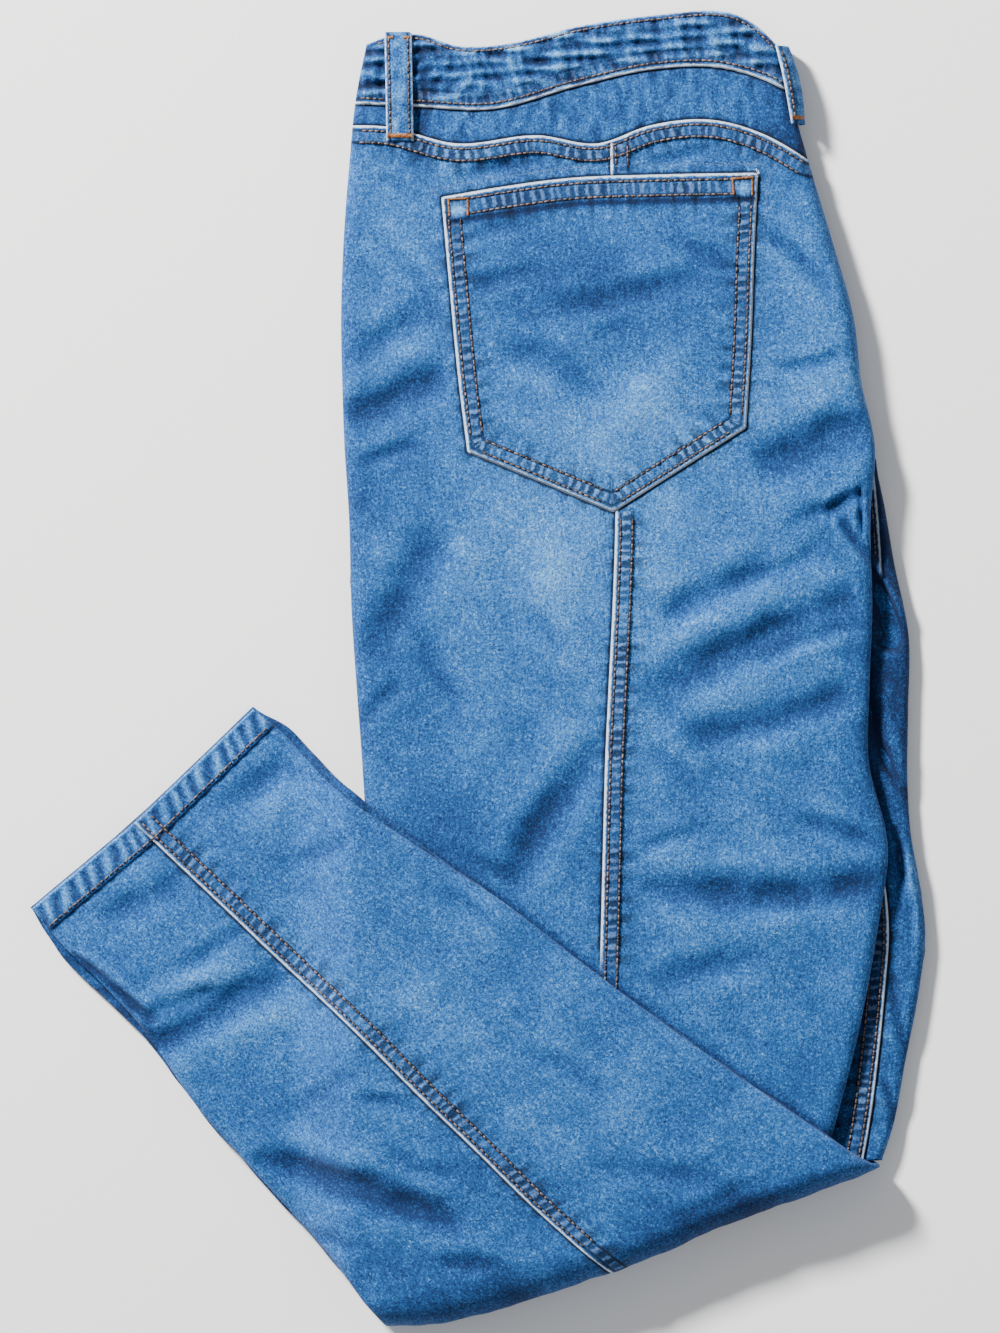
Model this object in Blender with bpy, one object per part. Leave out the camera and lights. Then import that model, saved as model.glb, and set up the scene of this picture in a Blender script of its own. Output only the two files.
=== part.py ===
"""Skinny jeans in stretch denim, folded in half lengthwise, turned up at the knees, lying flat.

The frame has its origin under the middle of the garment, on the surface it lies on. X runs from the
outseam to the crotch side, Y from the knee fold up to the waist, Z up out of the surface.
The back of the left leg is on top. Both lower legs are turned up over the knee fold, so the turned-up
part shows the back of the right leg. All lengths are millimetres until a mesh is made.
"""

import bmesh
import bpy
import numpy as np

MM = 0.001
# Middle of the garment's outline in the numbers below; it goes to x = y = 0
MIDDLE = np.array([-0.11, 0.64, 0.0])

# Cloth, seams and hems
CLOTH = 1.5
SEAM_GAP = 0.3
LIE_GAP = 0.5
SEAM_BAND = 8.0
SEAM_RISE = 0.9
HEM_RISE = 1.2
WAISTBAND_RISE = 1.0

# Heights of the folded stack over the surface it lies on
CALF_STACK = 13.5
THIGH_UNDER_CALF = 18.0
PAIR_SHARE = 0.74
RIGHT_THIGH_TOP = 8.6
RIGHT_THIGH_MIDDLE = 4.2

# Round edges, and how far a piece runs on under the piece that covers it
ROLL = 8.0
RIGHT_THIGH_ROLL = 5.0
ROLL_TURNS = np.radians([0.0, 30.0, 60.0, 90.0])
TUCK = 6.5

# How many stretches of cloth each run of the grid has
OUTER_CELLS, INNER_CELLS = 7, 6
THIGH_ROWS = 22
CALF_CELLS = 5
CALF_ROWS = 17

DENIM = (0.13, 0.29, 0.60)
DENIM_DEEP = (0.10, 0.24, 0.52)


class Table:
    """Rows of numbers under named columns, read as a smooth curve by the first column."""

    def __init__(self, columns, *rows):
        self.columns = columns.split()
        self.rows = np.array(sorted(rows), float)

    def at(self, column, where):
        """Cubic through the rows, whose slope at a row is that of its neighbours."""
        key = self.rows[:, 0]
        value = self.rows[:, self.columns.index(column)]
        slope = np.gradient(value, key)
        where = np.clip(where, key[0], key[-1])
        i = np.clip(np.searchsorted(key, where) - 1, 0, len(key) - 2)
        step = key[i + 1] - key[i]
        t = (where - key[i]) / step
        start = (2 * t**3 - 3 * t**2 + 1) * value[i] + (t**3 - 2 * t**2 + t) * step * slope[i]
        end = (3 * t**2 - 2 * t**3) * value[i + 1] + (t**3 - t**2) * step * slope[i + 1]
        return start + end


# Left leg's back, waist to turned-up part: outseam edge, seam down the middle, crotch-side edge
THIGH = Table(
    "y left seam right",
    (312, -56.2, 66.0, 152.0),
    (285, -61.5, 66.2, 157.0),
    (255, -64.5, 66.6, 165.0),
    (215, -67.5, 67.5, 177.0),
    (175, -68.8, 68.0, 188.0),
    (142, -68.2, 68.4, 192.0),
    (115, -67.3, 68.8, 198.0),
    (75, -64.8, 69.0, 196.0),
    (30, -63.6, 67.6, 197.0),
    (-10, -61.0, 65.6, 195.6),
    (-45, -58.4, 64.0, 195.2),
    (-90, -55.6, 62.8, 204.8),
    (-130, -53.5, 61.8, 199.8),
    (-180, -51.0, 60.4, 190.6),
    (-245, -48.5, 59.0, 174.0),
)
# Height of the thigh stack's top
THIGH_HEIGHT = Table(
    "y top",
    (330, 13.5),
    (300, 14.2),
    (262, 14.6),
    (215, 16.6),
    (140, 18.2),
    (60, 18.6),
    (-20, 17.6),
    (-70, 18.0),
    (-250, 18.0),
)
WAIST_TOP = Table(
    "x y",
    (-56, 312.5),
    (-46, 316.3),
    (-31, 317.5),
    (-10, 311.5),
    (11, 312.2),
    (51, 321.6),
    (98, 328.0),
    (115, 329.3),
    (128, 327.6),
    (140, 321.0),
    (152, 309.0),
)
WAIST_SEAM = Table(
    "x y",
    (-61, 283),
    (-31, 281.5),
    (7, 280.3),
    (50, 292),
    (90, 300.5),
    (122, 300.8),
    (144, 294.5),
    (155, 289),
)
YOKE_SEAM = Table(
    "x y",
    (-64, 271.2),
    (-46, 270.4),
    (-12, 262),
    (30, 266),
    (60, 262),
    (86, 271),
    (121, 273.2),
    (144, 266),
    (165, 254),
)
# Where the left thigh ends, tucked under the turned-up part
THIGH_END = Table(
    "x y",
    (-57, -84),
    (0, -124),
    (60, -167),
    (128, -212.5),
    (160, -230),
    (176, -236.5),
    (202, -240),
)
# Right leg's thigh beside the left one: its inseam, and its outer edge
RIGHT_THIGH = Table(
    "y inseam outline",
    (115, 191.5, 198.9),
    (104, 190.5, 199.4),
    (79, 190.0, 204.0),
    (54, 191.0, 208.2),
    (17, 190.5, 215.6),
    (-21, 189.5, 215.4),
    (-60, 191.5, 215.2),
    (-83, 197.0, 216.8),
    (-108, 203.0, 221.2),
    (-133, 205.0, 224.0),
    (-158, 203.3, 221.4),
    (-196, 199.6, 214.2),
    (-233, 194.6, 206.8),
    (-246, 192.2, 202.4),
)
# Turned-up part, hem to knee fold: lower-left edge, seam, upper-right edge
CALF = Table(
    "along left_x left_y seam_x seam_y right_x right_y",
    (0, -223.5, -120.0, -172.0, -77.0, -113.0, -20.5),
    (13, -215.0, -131.0, -162.0, -86.5, -102.5, -28.5),
    (60, -187.0, -159.5, -127.0, -119.5, -70.0, -61.0),
    (102, -166.0, -183.0, -96.0, -149.0, -32.0, -87.5),
    (145, -142.0, -218.0, -64.0, -178.0, 12.0, -116.0),
    (193, -113.0, -251.0, -29.0, -213.0, 60.0, -153.0),
    (232, -91.0, -275.0, -1.0, -240.0, 101.0, -183.0),
    (270, -71.0, -297.0, 28.0, -268.5, 145.0, -213.5),
    (300, -57.0, -316.0, 52.0, -290.0, 188.0, -242.5),
)
HEM_DEPTH = 13.0
CALF_LENGTH = 300.0
KNEE_FOLD = Table(
    "x y",
    (-46, -328.5),
    (-19, -327.5),
    (8, -321),
    (49, -308),
    (83, -296),
    (111, -283.5),
    (144, -271),
    (179, -258),
    (201, -249.5),
)
# Where the lower-left edge, the seam and the upper-right edge meet the knee fold
KNEE_ENDS = (-46.0, 67.0, 201.0)
KNEE_TURNS = np.radians([60.0, 30.0, 0.0, -25.0, -50.0])
# Across the turned-up part, from its lower-left edge to its upper-right one
CALF_ACROSS = np.array([0.674, 0.739])
# How far the left leg's layers show past the right leg's, at the turned-up part's two edges
PEEK = Table(
    "along left right",
    (0, 0.5, 0.8),
    (20, 3.0, 3.0),
    (85, 3.4, 2.6),
    (125, 1.0, 0.2),
    (220, 1.2, 0.0),
    (300, 0.6, 0.0),
)

# Largest folds: a trough from one end to the other, bowed sideways, with its half width and depth
FOLD_COLUMNS = "x0 y0 x1 y1 bow width depth".split()
THIGH_FOLDS = (
    (-66, 125, -14, 148, 0, 9.0, 2.2),
    (-66, 151, -22, 183, 0, 8.0, 1.2),
    (141, 101, 196, 124, 0, 8.0, 3.4),
    (92, 26, 148, 54, 0, 8.0, 1.6),
    (86, -13, 190, 35, 2, 10.0, 2.6),
    (104, -34, 192, -9, -4, 8.0, 1.8),
    (82, -109, 206, -107, -5, 9.0, 3.4),
    (14, -116, 63, -36, 4, 8.5, 3.0),
    (-56, 4, -17, 72, 0, 10.0, 1.4),
)
CALF_FOLDS = (
    (-170, -192, -98, -153, 0, 9.0, 2.4),
    (-112, -245, -8, -278, 3, 8.0, 3.2),
    (-128, -72, -94, -46, 0, 8.0, 1.5),
    (-190, -127, -147, -107, 0, 8.0, 1.5),
)

# Edges of the hidden layers, from the top down: how far in from the edge, and share of the height
THIGH_LEFT_LAYERS = (
    (0.2, 0.700),
    (0.6, 0.640),
    (1.6, 0.570),
    (5.0, 0.515),
    (1.4, 0.455),
    (0.6, 0.360),
    (2.6, 0.255),
    (0.9, 0.160),
    (1.0, 0.070),
    (3.2, 0.0),
)
CALF_LAYERS = (
    (0.2, 0.660),
    (1.2, 0.590),
    (4.6, 0.510),
    (0.3, 0.400),
    (0.3, 0.160),
    (2.0, 0.020),
)
PEEKING_LAYERS = (3, 4)
SLOT_DEPTH = 14.0
KNEE_UNDER = 5.0
HEM_PROUD = 1.0
END_BLEND = 16.0
# The hidden layers are built past their ends and cut off there: a place on the cut, and the way out
END_SPARE = 20.0
THIGH_CUT = ((-57.0, -84.0), (-0.562, -0.827))
RIGHT_THIGH_CUT = ((200.0, -238.5), (0.0, -1.0))
KNEE_TIP_CUT = ((187.5, -245.0), (1.0, 0.0))

POCKET_TOP = Table("x y", (-18, 235.2), (10, 240), (45, 244.6), (90, 246.4), (139.3, 247.3))
POCKET_LEFT = Table("y x", (108.6, -5.0), (142, -9.2), (194, -14.2), (235.2, -18.0))
POCKET_RIGHT = Table("y x", (120.4, 133.2), (164, 135.8), (209, 137.4), (247.3, 139.3))
POCKET_TIP = (67.2, 78.6)
POCKET_WALL = 1.6
POCKET_HEM_RISE = 0.7

LOOP_WALL = 1.6
LOOP_WIDTH = 13.5
SIDE_LOOP = Table("y x", (263.6, -39.2), (290, -39.6), (318.2, -40.2))
SIDE_LOOP_ARCH = 1.6
CENTRE_LOOP_ENDS = (311.5, 272.5)
CENTRE_LOOP_TURN = (66.0, -28.0)
CENTRE_LOOP_ARCH = 2.6


def ease(value, start, end):
    """0 before start, 1 after end, and a smooth S between."""
    t = np.clip((value - start) / (end - start), 0, 1)
    return t * t * (3 - 2 * t)


def folds(table, x, y):
    """Height that the folds add: each a trough with soft lips, deepest half way along."""
    total = np.zeros(np.shape(x))
    for row in table:
        fold = dict(zip(FOLD_COLUMNS, row))
        run = np.array([fold["x1"] - fold["x0"], fold["y1"] - fold["y0"]])
        length = np.hypot(*run)
        along = ((x - fold["x0"]) * run[0] + (y - fold["y0"]) * run[1]) / length**2
        aside = ((y - fold["y0"]) * run[0] - (x - fold["x0"]) * run[1]) / length
        middle = np.clip(4 * along * (1 - along), 0, 1)
        across = np.abs(aside - fold["bow"] * middle) / fold["width"]
        shape = np.exp(-(across**2)) - 0.3 * np.exp(-((across - 1.9) ** 2))
        total -= fold["depth"] * np.sqrt(middle) * shape
    return total


def thigh_top(x, y):
    """Top of the left thigh, flat where the turned-up part lies on it."""
    covered = ease(y - THIGH_END.at("y", x), 14, 34)
    return THIGH_HEIGHT.at("top", y) + folds(THIGH_FOLDS, x, y) * covered


def crotch_open(y):
    """0 above the crotch, where the edge is one fold, and 1 below, where the right thigh shows."""
    return 1 - ease(y, 104, 122)


def thigh_row(row_y):
    """Points across the left thigh where y follows row_y(x), from edge to edge."""
    turns = 1 - np.cos(ROLL_TURNS)
    lift = np.ones(2 * len(ROLL_TURNS) + OUTER_CELLS + INNER_CELLS + 1)
    lift[: len(ROLL_TURNS)] = np.sin(ROLL_TURNS)
    lift[-len(ROLL_TURNS) :] = np.sin(ROLL_TURNS)[::-1]
    y = np.full(lift.shape, row_y(50.0))
    for _ in range(8):
        left, seam, right = (THIGH.at(name, y) for name in ("left", "seam", "right"))
        outer = np.linspace(0, 1, OUTER_CELLS + 1)[1:]
        inner = np.linspace(0, 1, INNER_CELLS + 1)[:-1]
        band = seam + SEAM_BAND + 1.5
        a = len(ROLL_TURNS)
        b = a + OUTER_CELLS
        x = np.empty(lift.shape)
        x[:a] = left[:a] + ROLL * turns
        x[a:b] = left[a:b] + ROLL + (seam[a:b] - left[a:b] - ROLL) * outer
        x[b] = seam[b] + SEAM_BAND
        x[b + 1 : -a] = band[b + 1 : -a] + (right - ROLL - band)[b + 1 : -a] * inner
        x[-a:] = right[-a:] - ROLL * turns[::-1]
        y = row_y(x)
    top = thigh_top(x, y)
    share = np.where(x < 60, PAIR_SHARE, 0.5 + (PAIR_SHARE - 0.5) * crotch_open(y))
    return np.stack([x, y, top * (share + (1 - share) * lift)], axis=1)


SEAM_COLUMN = len(ROLL_TURNS) + OUTER_CELLS - 1
WAIST_SEAM_ROW, YOKE_SEAM_ROW = 3, 5


def thigh_grid():
    """Waistband, yoke and panels of the left leg's back, as rows of points from the waist down."""

    def between(upper, lower, share):
        return lambda x: upper(x) + (lower(x) - upper(x)) * share

    waist = lambda x: WAIST_TOP.at("y", x)
    seam = lambda x: WAIST_SEAM.at("y", x)
    yoke = lambda x: YOKE_SEAM.at("y", x)
    start = lambda x: yoke(x) - SEAM_BAND - 1.5
    end = lambda x: THIGH_END.at("y", x)
    rows = [thigh_row(between(waist, seam, share)) for share in (0, 0.08, 0.5, 1)]
    rows += [thigh_row(between(seam, yoke, share)) for share in (0.5, 1)]
    rows.append(thigh_row(lambda x: yoke(x) - SEAM_BAND))
    shares = np.linspace(0, 1, THIGH_ROWS + 1)
    rows += [thigh_row(between(start, end, share)) for share in shares]
    grid = np.array(rows)
    grid[0, :, 2] -= 2.4
    grid[1, :, 2] -= 0.4
    return grid


def calf_under(x):
    """Height of what the turned-up part lies on."""
    return THIGH_UNDER_CALF * ease(x, -95, -60) - 8.5 * ease(x, 178, 198)


def calf_row(along):
    """Points across the turned-up part, from its lower-left edge to its upper-right one."""
    left, seam, right = (
        np.array([CALF.at(f"{name}_x", along), CALF.at(f"{name}_y", along)])
        for name in ("left", "seam", "right")
    )
    return across_calf(left, seam, right)


def across_calf(left, seam, right):
    """Round edge, plain stretch, seam with its band, plain stretch, round edge."""
    turns = 1 - np.cos(ROLL_TURNS)
    outer_width = np.linalg.norm(seam - left)
    inner_width = np.linalg.norm(right - seam)
    outer = np.concatenate(
        [ROLL * turns, np.linspace(ROLL, outer_width, CALF_CELLS + 1)[1:]]
    )
    band = SEAM_BAND + 1.5
    inner = np.concatenate(
        [
            [SEAM_BAND],
            np.linspace(band, inner_width - ROLL, CALF_CELLS + 1)[:-1],
            inner_width - ROLL * turns[::-1],
        ]
    )
    first = left + np.outer(outer / outer_width, seam - left)
    second = seam + np.outer(inner / inner_width, right - seam)
    return np.concatenate([first, second])


CALF_SEAM_COLUMN = len(ROLL_TURNS) + CALF_CELLS - 1


def calf_stations():
    """Distances from the hem of the rows of points on the turned-up part."""
    plain = np.linspace(32, CALF_LENGTH - 4, CALF_ROWS)
    return np.concatenate([[0, HEM_DEPTH, HEM_DEPTH + 1.5], plain, [CALF_LENGTH]])


def calf_grid():
    """The right leg's back, turned up, as rows of points from the hem to under the knee fold."""
    stations = calf_stations()
    rows = np.array([calf_row(along) for along in stations])
    columns = rows.shape[1]
    lift = np.ones(columns)
    lift[: len(ROLL_TURNS)] = np.sin(ROLL_TURNS)
    lift[-len(ROLL_TURNS) :] = np.sin(ROLL_TURNS)[::-1]
    x, y = rows[..., 0], rows[..., 1]
    under = calf_under(x)
    height = CALF_STACK - 2.5 * (1 - ease(stations, 0, 60))[:, None]
    pair = under + PAIR_SHARE * height
    top = under + height + folds(CALF_FOLDS, x, y)
    z = pair + (top - pair) * lift
    z[0] -= 0.5
    grid = np.dstack([rows, z])

    ends = [np.array([x, KNEE_FOLD.at("y", x)]) for x in KNEE_ENDS]
    knee_x = across_calf(*ends)[:, 0]
    knee = np.stack([knee_x, KNEE_FOLD.at("y", knee_x)], axis=1)
    turned = []
    for turn in KNEE_TURNS:
        place = knee + (grid[-1, :, :2] - knee) * (1 - np.cos(turn))
        height = grid[-1, :, 2] * (1 + np.sin(turn)) / 2
        turned.append(np.column_stack([place, height]))
    return np.concatenate([grid, np.array(turned)])


def normals(grid, passes=0):
    """Unit vectors out of a grid of points whose rows run down and columns run right."""
    out = np.cross(np.gradient(grid, axis=0), np.gradient(grid, axis=1))
    out /= np.linalg.norm(out, axis=2, keepdims=True)
    for _ in range(passes):
        wide = np.pad(out, ((1, 1), (1, 1), (0, 0)), mode="edge")
        out = out * 2 + wide[:-2, 1:-1] + wide[2:, 1:-1] + wide[1:-1, :-2] + wide[1:-1, 2:]
        out /= np.linalg.norm(out, axis=2, keepdims=True)
    return out


def shrink(grid, sides, amount):
    """The grid with its border on each named side moved in along the cloth by amount."""
    grid = grid.copy()
    ends = {"top": (0, 1), "bottom": (-1, -2), "left": (0, 1), "right": (-1, -2)}
    for side in sides:
        edge, inside = ends[side]
        lines = grid if side in ("top", "bottom") else grid.transpose(1, 0, 2)
        step = lines[inside] - lines[edge]
        lines[edge] += step / np.linalg.norm(step, axis=1, keepdims=True) * amount
    return grid


def material(name, colour):
    """Denim: matt, a little rough, no metal."""
    made = bpy.data.materials.get(name) or bpy.data.materials.new(name)
    made.use_nodes = True
    shader = made.node_tree.nodes["Principled BSDF"]
    shader.inputs["Base Color"].default_value = (*colour, 1.0)
    shader.inputs["Roughness"].default_value = 0.88
    shader.inputs["Metallic"].default_value = 0.0
    return made


def add_object(name, points, faces, colour):
    """A closed mesh from points in mm, its faces turned outwards."""
    mesh = bpy.data.meshes.new(name)
    mesh.from_pydata((np.asarray(points) - MIDDLE) * MM, [], faces)
    shape = bmesh.new()
    shape.from_mesh(mesh)
    loose = [edge for edge in shape.edges if len(edge.link_faces) == 1]
    if loose:
        bmesh.ops.contextual_create(shape, geom=loose)
    bmesh.ops.recalc_face_normals(shape, faces=shape.faces)
    shape.to_mesh(mesh)
    shape.free()
    mesh.shade_smooth()
    mesh.set_sharp_from_angle(angle=np.radians(50))
    piece = bpy.data.objects.new(name, mesh)
    piece.data.materials.append(material(name, colour))
    bpy.context.scene.collection.objects.link(piece)
    return piece


def grid_faces(rows, columns, first=0):
    """Quads of a grid whose points are numbered row by row from first."""
    index = first + np.arange(rows * columns).reshape(rows, columns)
    corners = (index[:-1, :-1], index[:-1, 1:], index[1:, 1:], index[1:, :-1])
    return np.stack(corners, axis=-1).reshape(-1, 4).tolist()


def cloth(name, outer, inner, colour):
    """A wall of cloth between an outer and an inner grid of points, closed round its border."""
    rows, columns = outer.shape[:2]
    count = rows * columns
    index = np.arange(count).reshape(rows, columns)
    border = np.concatenate(
        [index[0], index[1:, -1], index[-1, -2::-1], index[-2:0:-1, 0]]
    )
    ahead = np.roll(border, -1)
    walls = np.stack([border, ahead, ahead + count, border + count], axis=1).tolist()
    faces = grid_faces(rows, columns) + grid_faces(rows, columns, count) + walls
    points = np.concatenate([outer.reshape(-1, 3), inner.reshape(-1, 3)])
    return add_object(name, points, faces, colour)


def panel(name, grid, out, rise, cells, sides, colour):
    """One cut piece: part of a grid, raised where it is lapped or hemmed, with gaps at its seams."""
    rows, columns = cells
    gap = SEAM_GAP / 2
    base = grid[rows, columns]
    direction = out[rows, columns]
    top = shrink(base + direction * rise[rows, columns, None], sides, gap)
    under = shrink(base - direction * CLOTH, sides, gap)
    return cloth(name, top, under, colour)


def left_leg(grid, out):
    """Waistband, yoke and the two back panels of the left leg."""
    level = np.zeros(grid.shape[:2])
    band = level + WAISTBAND_RISE
    everywhere = slice(None)
    edges = ("top", "bottom", "left", "right")
    waist_rows = slice(0, WAIST_SEAM_ROW + 1)
    yoke_rows = slice(WAIST_SEAM_ROW, YOKE_SEAM_ROW + 1)
    panel_rows = slice(YOKE_SEAM_ROW, None)
    panel("waistband", grid, out, band, (waist_rows, everywhere), edges, DENIM_DEEP)
    panel("left_back_yoke", grid, out, level, (yoke_rows, everywhere), edges, DENIM)

    lapped = level.copy()
    lapped[YOKE_SEAM_ROW : YOKE_SEAM_ROW + 2] = SEAM_RISE
    outer = slice(0, SEAM_COLUMN + 1)
    inner = slice(SEAM_COLUMN, None)
    panel("left_back_outer_panel", grid, out, lapped, (panel_rows, outer), edges, DENIM)
    seam_y = grid[:, SEAM_COLUMN, 1]
    bare = ease(seam_y, 66, 78) * (1 - ease(seam_y, 254.3, 255))
    strip = SEAM_RISE * (1 - bare) * ease(seam_y, -158, -142)
    band_columns = slice(SEAM_COLUMN, SEAM_COLUMN + 2)
    lapped[:, band_columns] = np.maximum(lapped[:, band_columns], strip[:, None])
    panel("left_back_inner_panel", grid, out, lapped, (panel_rows, inner), edges, DENIM)


def turned_up_leg(grid, out):
    """The two back panels of the right leg, with their hem and the lapped seam between them."""
    edges = ("top", "bottom", "left", "right")
    hemmed = np.zeros(grid.shape[:2])
    hemmed[:2] = HEM_RISE
    outer = slice(0, CALF_SEAM_COLUMN + 1)
    inner = slice(CALF_SEAM_COLUMN, None)
    rows = slice(None)
    panel("right_back_outer_panel", grid, out, hemmed, (rows, outer), edges, DENIM)
    band_columns = slice(CALF_SEAM_COLUMN, CALF_SEAM_COLUMN + 2)
    hemmed[:, band_columns] = np.maximum(hemmed[:, band_columns], SEAM_RISE)
    panel("right_back_inner_panel", grid, out, hemmed, (rows, inner), edges, DENIM)


def right_thigh_grid(edge_y):
    """The right leg beside the left thigh: tucked edge, inseam, plain stretch, round outer edge."""
    left_edge = THIGH.at("right", edge_y)
    inseam = RIGHT_THIGH.at("inseam", edge_y)
    outline = RIGHT_THIGH.at("outline", edge_y)
    start = np.minimum(left_edge - TUCK, inseam - SEAM_BAND - 1.5)
    flat = outline - RIGHT_THIGH_ROLL
    turns = 1 - np.cos(ROLL_TURNS[::-1])
    lift = np.sin(ROLL_TURNS[::-1])
    x = [start, inseam - SEAM_BAND - 0.8, inseam - SEAM_BAND, inseam]
    x += [(inseam + flat) / 2]
    x += [outline - RIGHT_THIGH_ROLL * turn for turn in turns]
    z = [RIGHT_THIGH_TOP] * 5
    z += [RIGHT_THIGH_MIDDLE + (RIGHT_THIGH_TOP - RIGHT_THIGH_MIDDLE) * up for up in lift]
    y = np.repeat(edge_y[:, None], len(x), axis=1)
    return np.dstack([np.stack(x, axis=1), y, np.broadcast_to(z, y.shape)])


def right_thigh(edge_y):
    """The right leg's inner panel along the thigh, and the strip of its front beside the inseam."""
    crotch = np.argmax(edge_y < 105)
    grid = right_thigh_grid(edge_y[crotch:])
    out = normals(grid)
    rise = np.zeros(grid.shape[:2])
    sides = ("top", "bottom", "left", "right")
    inner = (slice(None), slice(3, None))
    panel("right_thigh_inner_panel", grid, out, rise, inner, sides, DENIM)
    first = np.argmax(edge_y[crotch:] < -98)
    rise[:, 2:4] = SEAM_RISE
    front = (slice(first, None), slice(0, 4))
    panel("right_front_panel", grid, out, rise, front, sides, DENIM_DEEP)


def stepped_edge(edge, inward, base, top, layers):
    """The layers of an edge below its top one: points in from the edge, at shares of the height."""
    points = []
    for depth, share in layers:
        height = base + (top - base) * share
        points.append(np.column_stack([edge + inward * np.reshape(depth, (-1, 1)), height]))
    return np.stack(points, axis=1)


def thigh_right_edge(row):
    """Crotch side of the hidden layers: one round fold, or below the crotch the step to the right leg."""
    edge, y = row[:, 0], row[:, 1]
    turns = np.radians([-4, -12, -22, -32, -42, -52, -62, -72, -81, -90])
    middle = row[:, 2]
    fold_x = edge[:, None] - 0.2 - ROLL * (1 - np.cos(turns))
    fold_z = middle[:, None] * (1 + np.sin(turns))
    outline = RIGHT_THIGH.at("outline", y)
    under = RIGHT_THIGH_TOP - CLOTH - SEAM_GAP
    hidden = np.minimum(edge - TUCK, RIGHT_THIGH.at("inseam", y) - SEAM_BAND - 1.5) - 0.8
    inside = outline - RIGHT_THIGH_ROLL
    flap = [
        (edge - 0.2, middle - 0.9),
        (edge - 1.3, 10.8),
        (hidden, 9.9),
        (hidden, under),
        (inside, under),
        (inside + 2.2, under - 0.8),
        (outline - CLOTH - 0.4, RIGHT_THIGH_MIDDLE - 0.75),
        (outline - 0.2, RIGHT_THIGH_MIDDLE - 0.6),
        (outline - 1.2, 1.2),
        (outline - 3.0, 0.0),
    ]
    flap_x = np.stack([x for x, _ in flap], axis=1)
    flap_z = np.stack([np.broadcast_to(z, y.shape) for _, z in flap], axis=1)
    share = crotch_open(y)[:, None]
    x = fold_x + (flap_x - fold_x) * share
    z = fold_z + (flap_z - fold_z) * share
    return np.dstack([x, np.repeat(y[:, None], x.shape[1], axis=1), z])


def layered_block(name, top, left_edge, right_edge, start_wall):
    """A solid under a grid of points: its edges are given from the top down, and end flat at z = 0."""
    rows = np.concatenate([left_edge[:, ::-1], top, right_edge], axis=1)
    count, width = rows.shape[:2]
    total = count * width
    side = left_edge.shape[1]
    levels, columns = start_wall.shape[:2]
    wall = np.empty((levels + 1, columns + 2), int)
    wall[0] = np.arange(side, width - side)
    wall[1:, 0] = np.arange(side - 1, -1, -1)
    wall[1:, -1] = np.arange(width - side, width)
    wall[1:, 1:-1] = total + np.arange(levels * columns).reshape(levels, columns)
    corners = (wall[:-1, :-1], wall[:-1, 1:], wall[1:, 1:], wall[1:, :-1])
    faces = grid_faces(count, width) + np.stack(corners, axis=-1).reshape(-1, 4).tolist()
    points = np.concatenate([rows.reshape(-1, 3), start_wall.reshape(-1, 3)])
    return add_object(name, points, faces, DENIM_DEEP)


def cut_off(piece, place, way):
    """Takes off what lies beyond an upright plane through a place, and closes the cut."""
    shape = bmesh.new()
    shape.from_mesh(piece.data)
    bmesh.ops.bisect_plane(
        shape,
        geom=shape.verts[:] + shape.edges[:] + shape.faces[:],
        dist=MM * MM,
        plane_co=(np.array([*place, 0.0]) - MIDDLE) * MM,
        plane_no=(*way, 0.0),
        clear_outer=True,
    )
    bmesh.ops.holes_fill(shape, edges=[edge for edge in shape.edges if edge.is_boundary])
    bmesh.ops.recalc_face_normals(shape, faces=shape.faces)
    shape.to_mesh(piece.data)
    shape.free()


def end_points(row, outward, layers, left_rim, right_rim):
    """Points down the end of a block below its end row, which join the edges' own layers smoothly."""
    place = row[:, :2]
    levels = []
    near_left = np.clip(1 - np.linalg.norm(place - place[0], axis=1) / END_BLEND, 0, 1)[:, None]
    near_right = np.clip(1 - np.linalg.norm(place - place[-1], axis=1) / END_BLEND, 0, 1)[:, None]
    for k, (depth, share) in enumerate(layers):
        shift = -np.array(outward) * depth * (1 - near_left - near_right)
        shift = shift + (left_rim[k, :2] - place[0]) * near_left
        shift = shift + (right_rim[k, :2] - place[-1]) * near_right
        height = (row[:, 2] * share)[:, None] * (1 - near_left - near_right)
        height = height + left_rim[k, 2] * near_left + right_rim[k, 2] * near_right
        levels.append(np.hstack([place + shift, height])[1:-1])
    return np.array(levels)


def hidden_thigh(grid, out):
    """Everything under the left leg's back: left front, right front and right back, as one block."""
    beyond = grid[-1] - [0, END_SPARE, 0]
    rows = np.concatenate([grid, beyond[None]])
    top = rows - np.concatenate([out, out[-1:]]) * (CLOTH + SEAM_GAP)
    top[0, :, 1] -= 0.4
    left, right = rows[:, 0], rows[:, -1]
    layers = THIGH_LEFT_LAYERS
    left_top = left[:, 2] / PAIR_SHARE
    left_side = stepped_edge(left[:, :2], np.array([[1.0, 0.0]]), 0.0, left_top, layers)
    right_side = thigh_right_edge(right)
    for side in (left_side, right_side):
        side[0, :, 1] -= [min(depth, 0.8) for depth, _ in layers]
    start = end_points(top[0], (0, 1), layers, left_side[0], right_side[0])
    block = layered_block("folded_layers", top, left_side, right_side, start)
    cut_off(block, *THIGH_CUT)
    cut_off(block, *RIGHT_THIGH_CUT)


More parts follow.
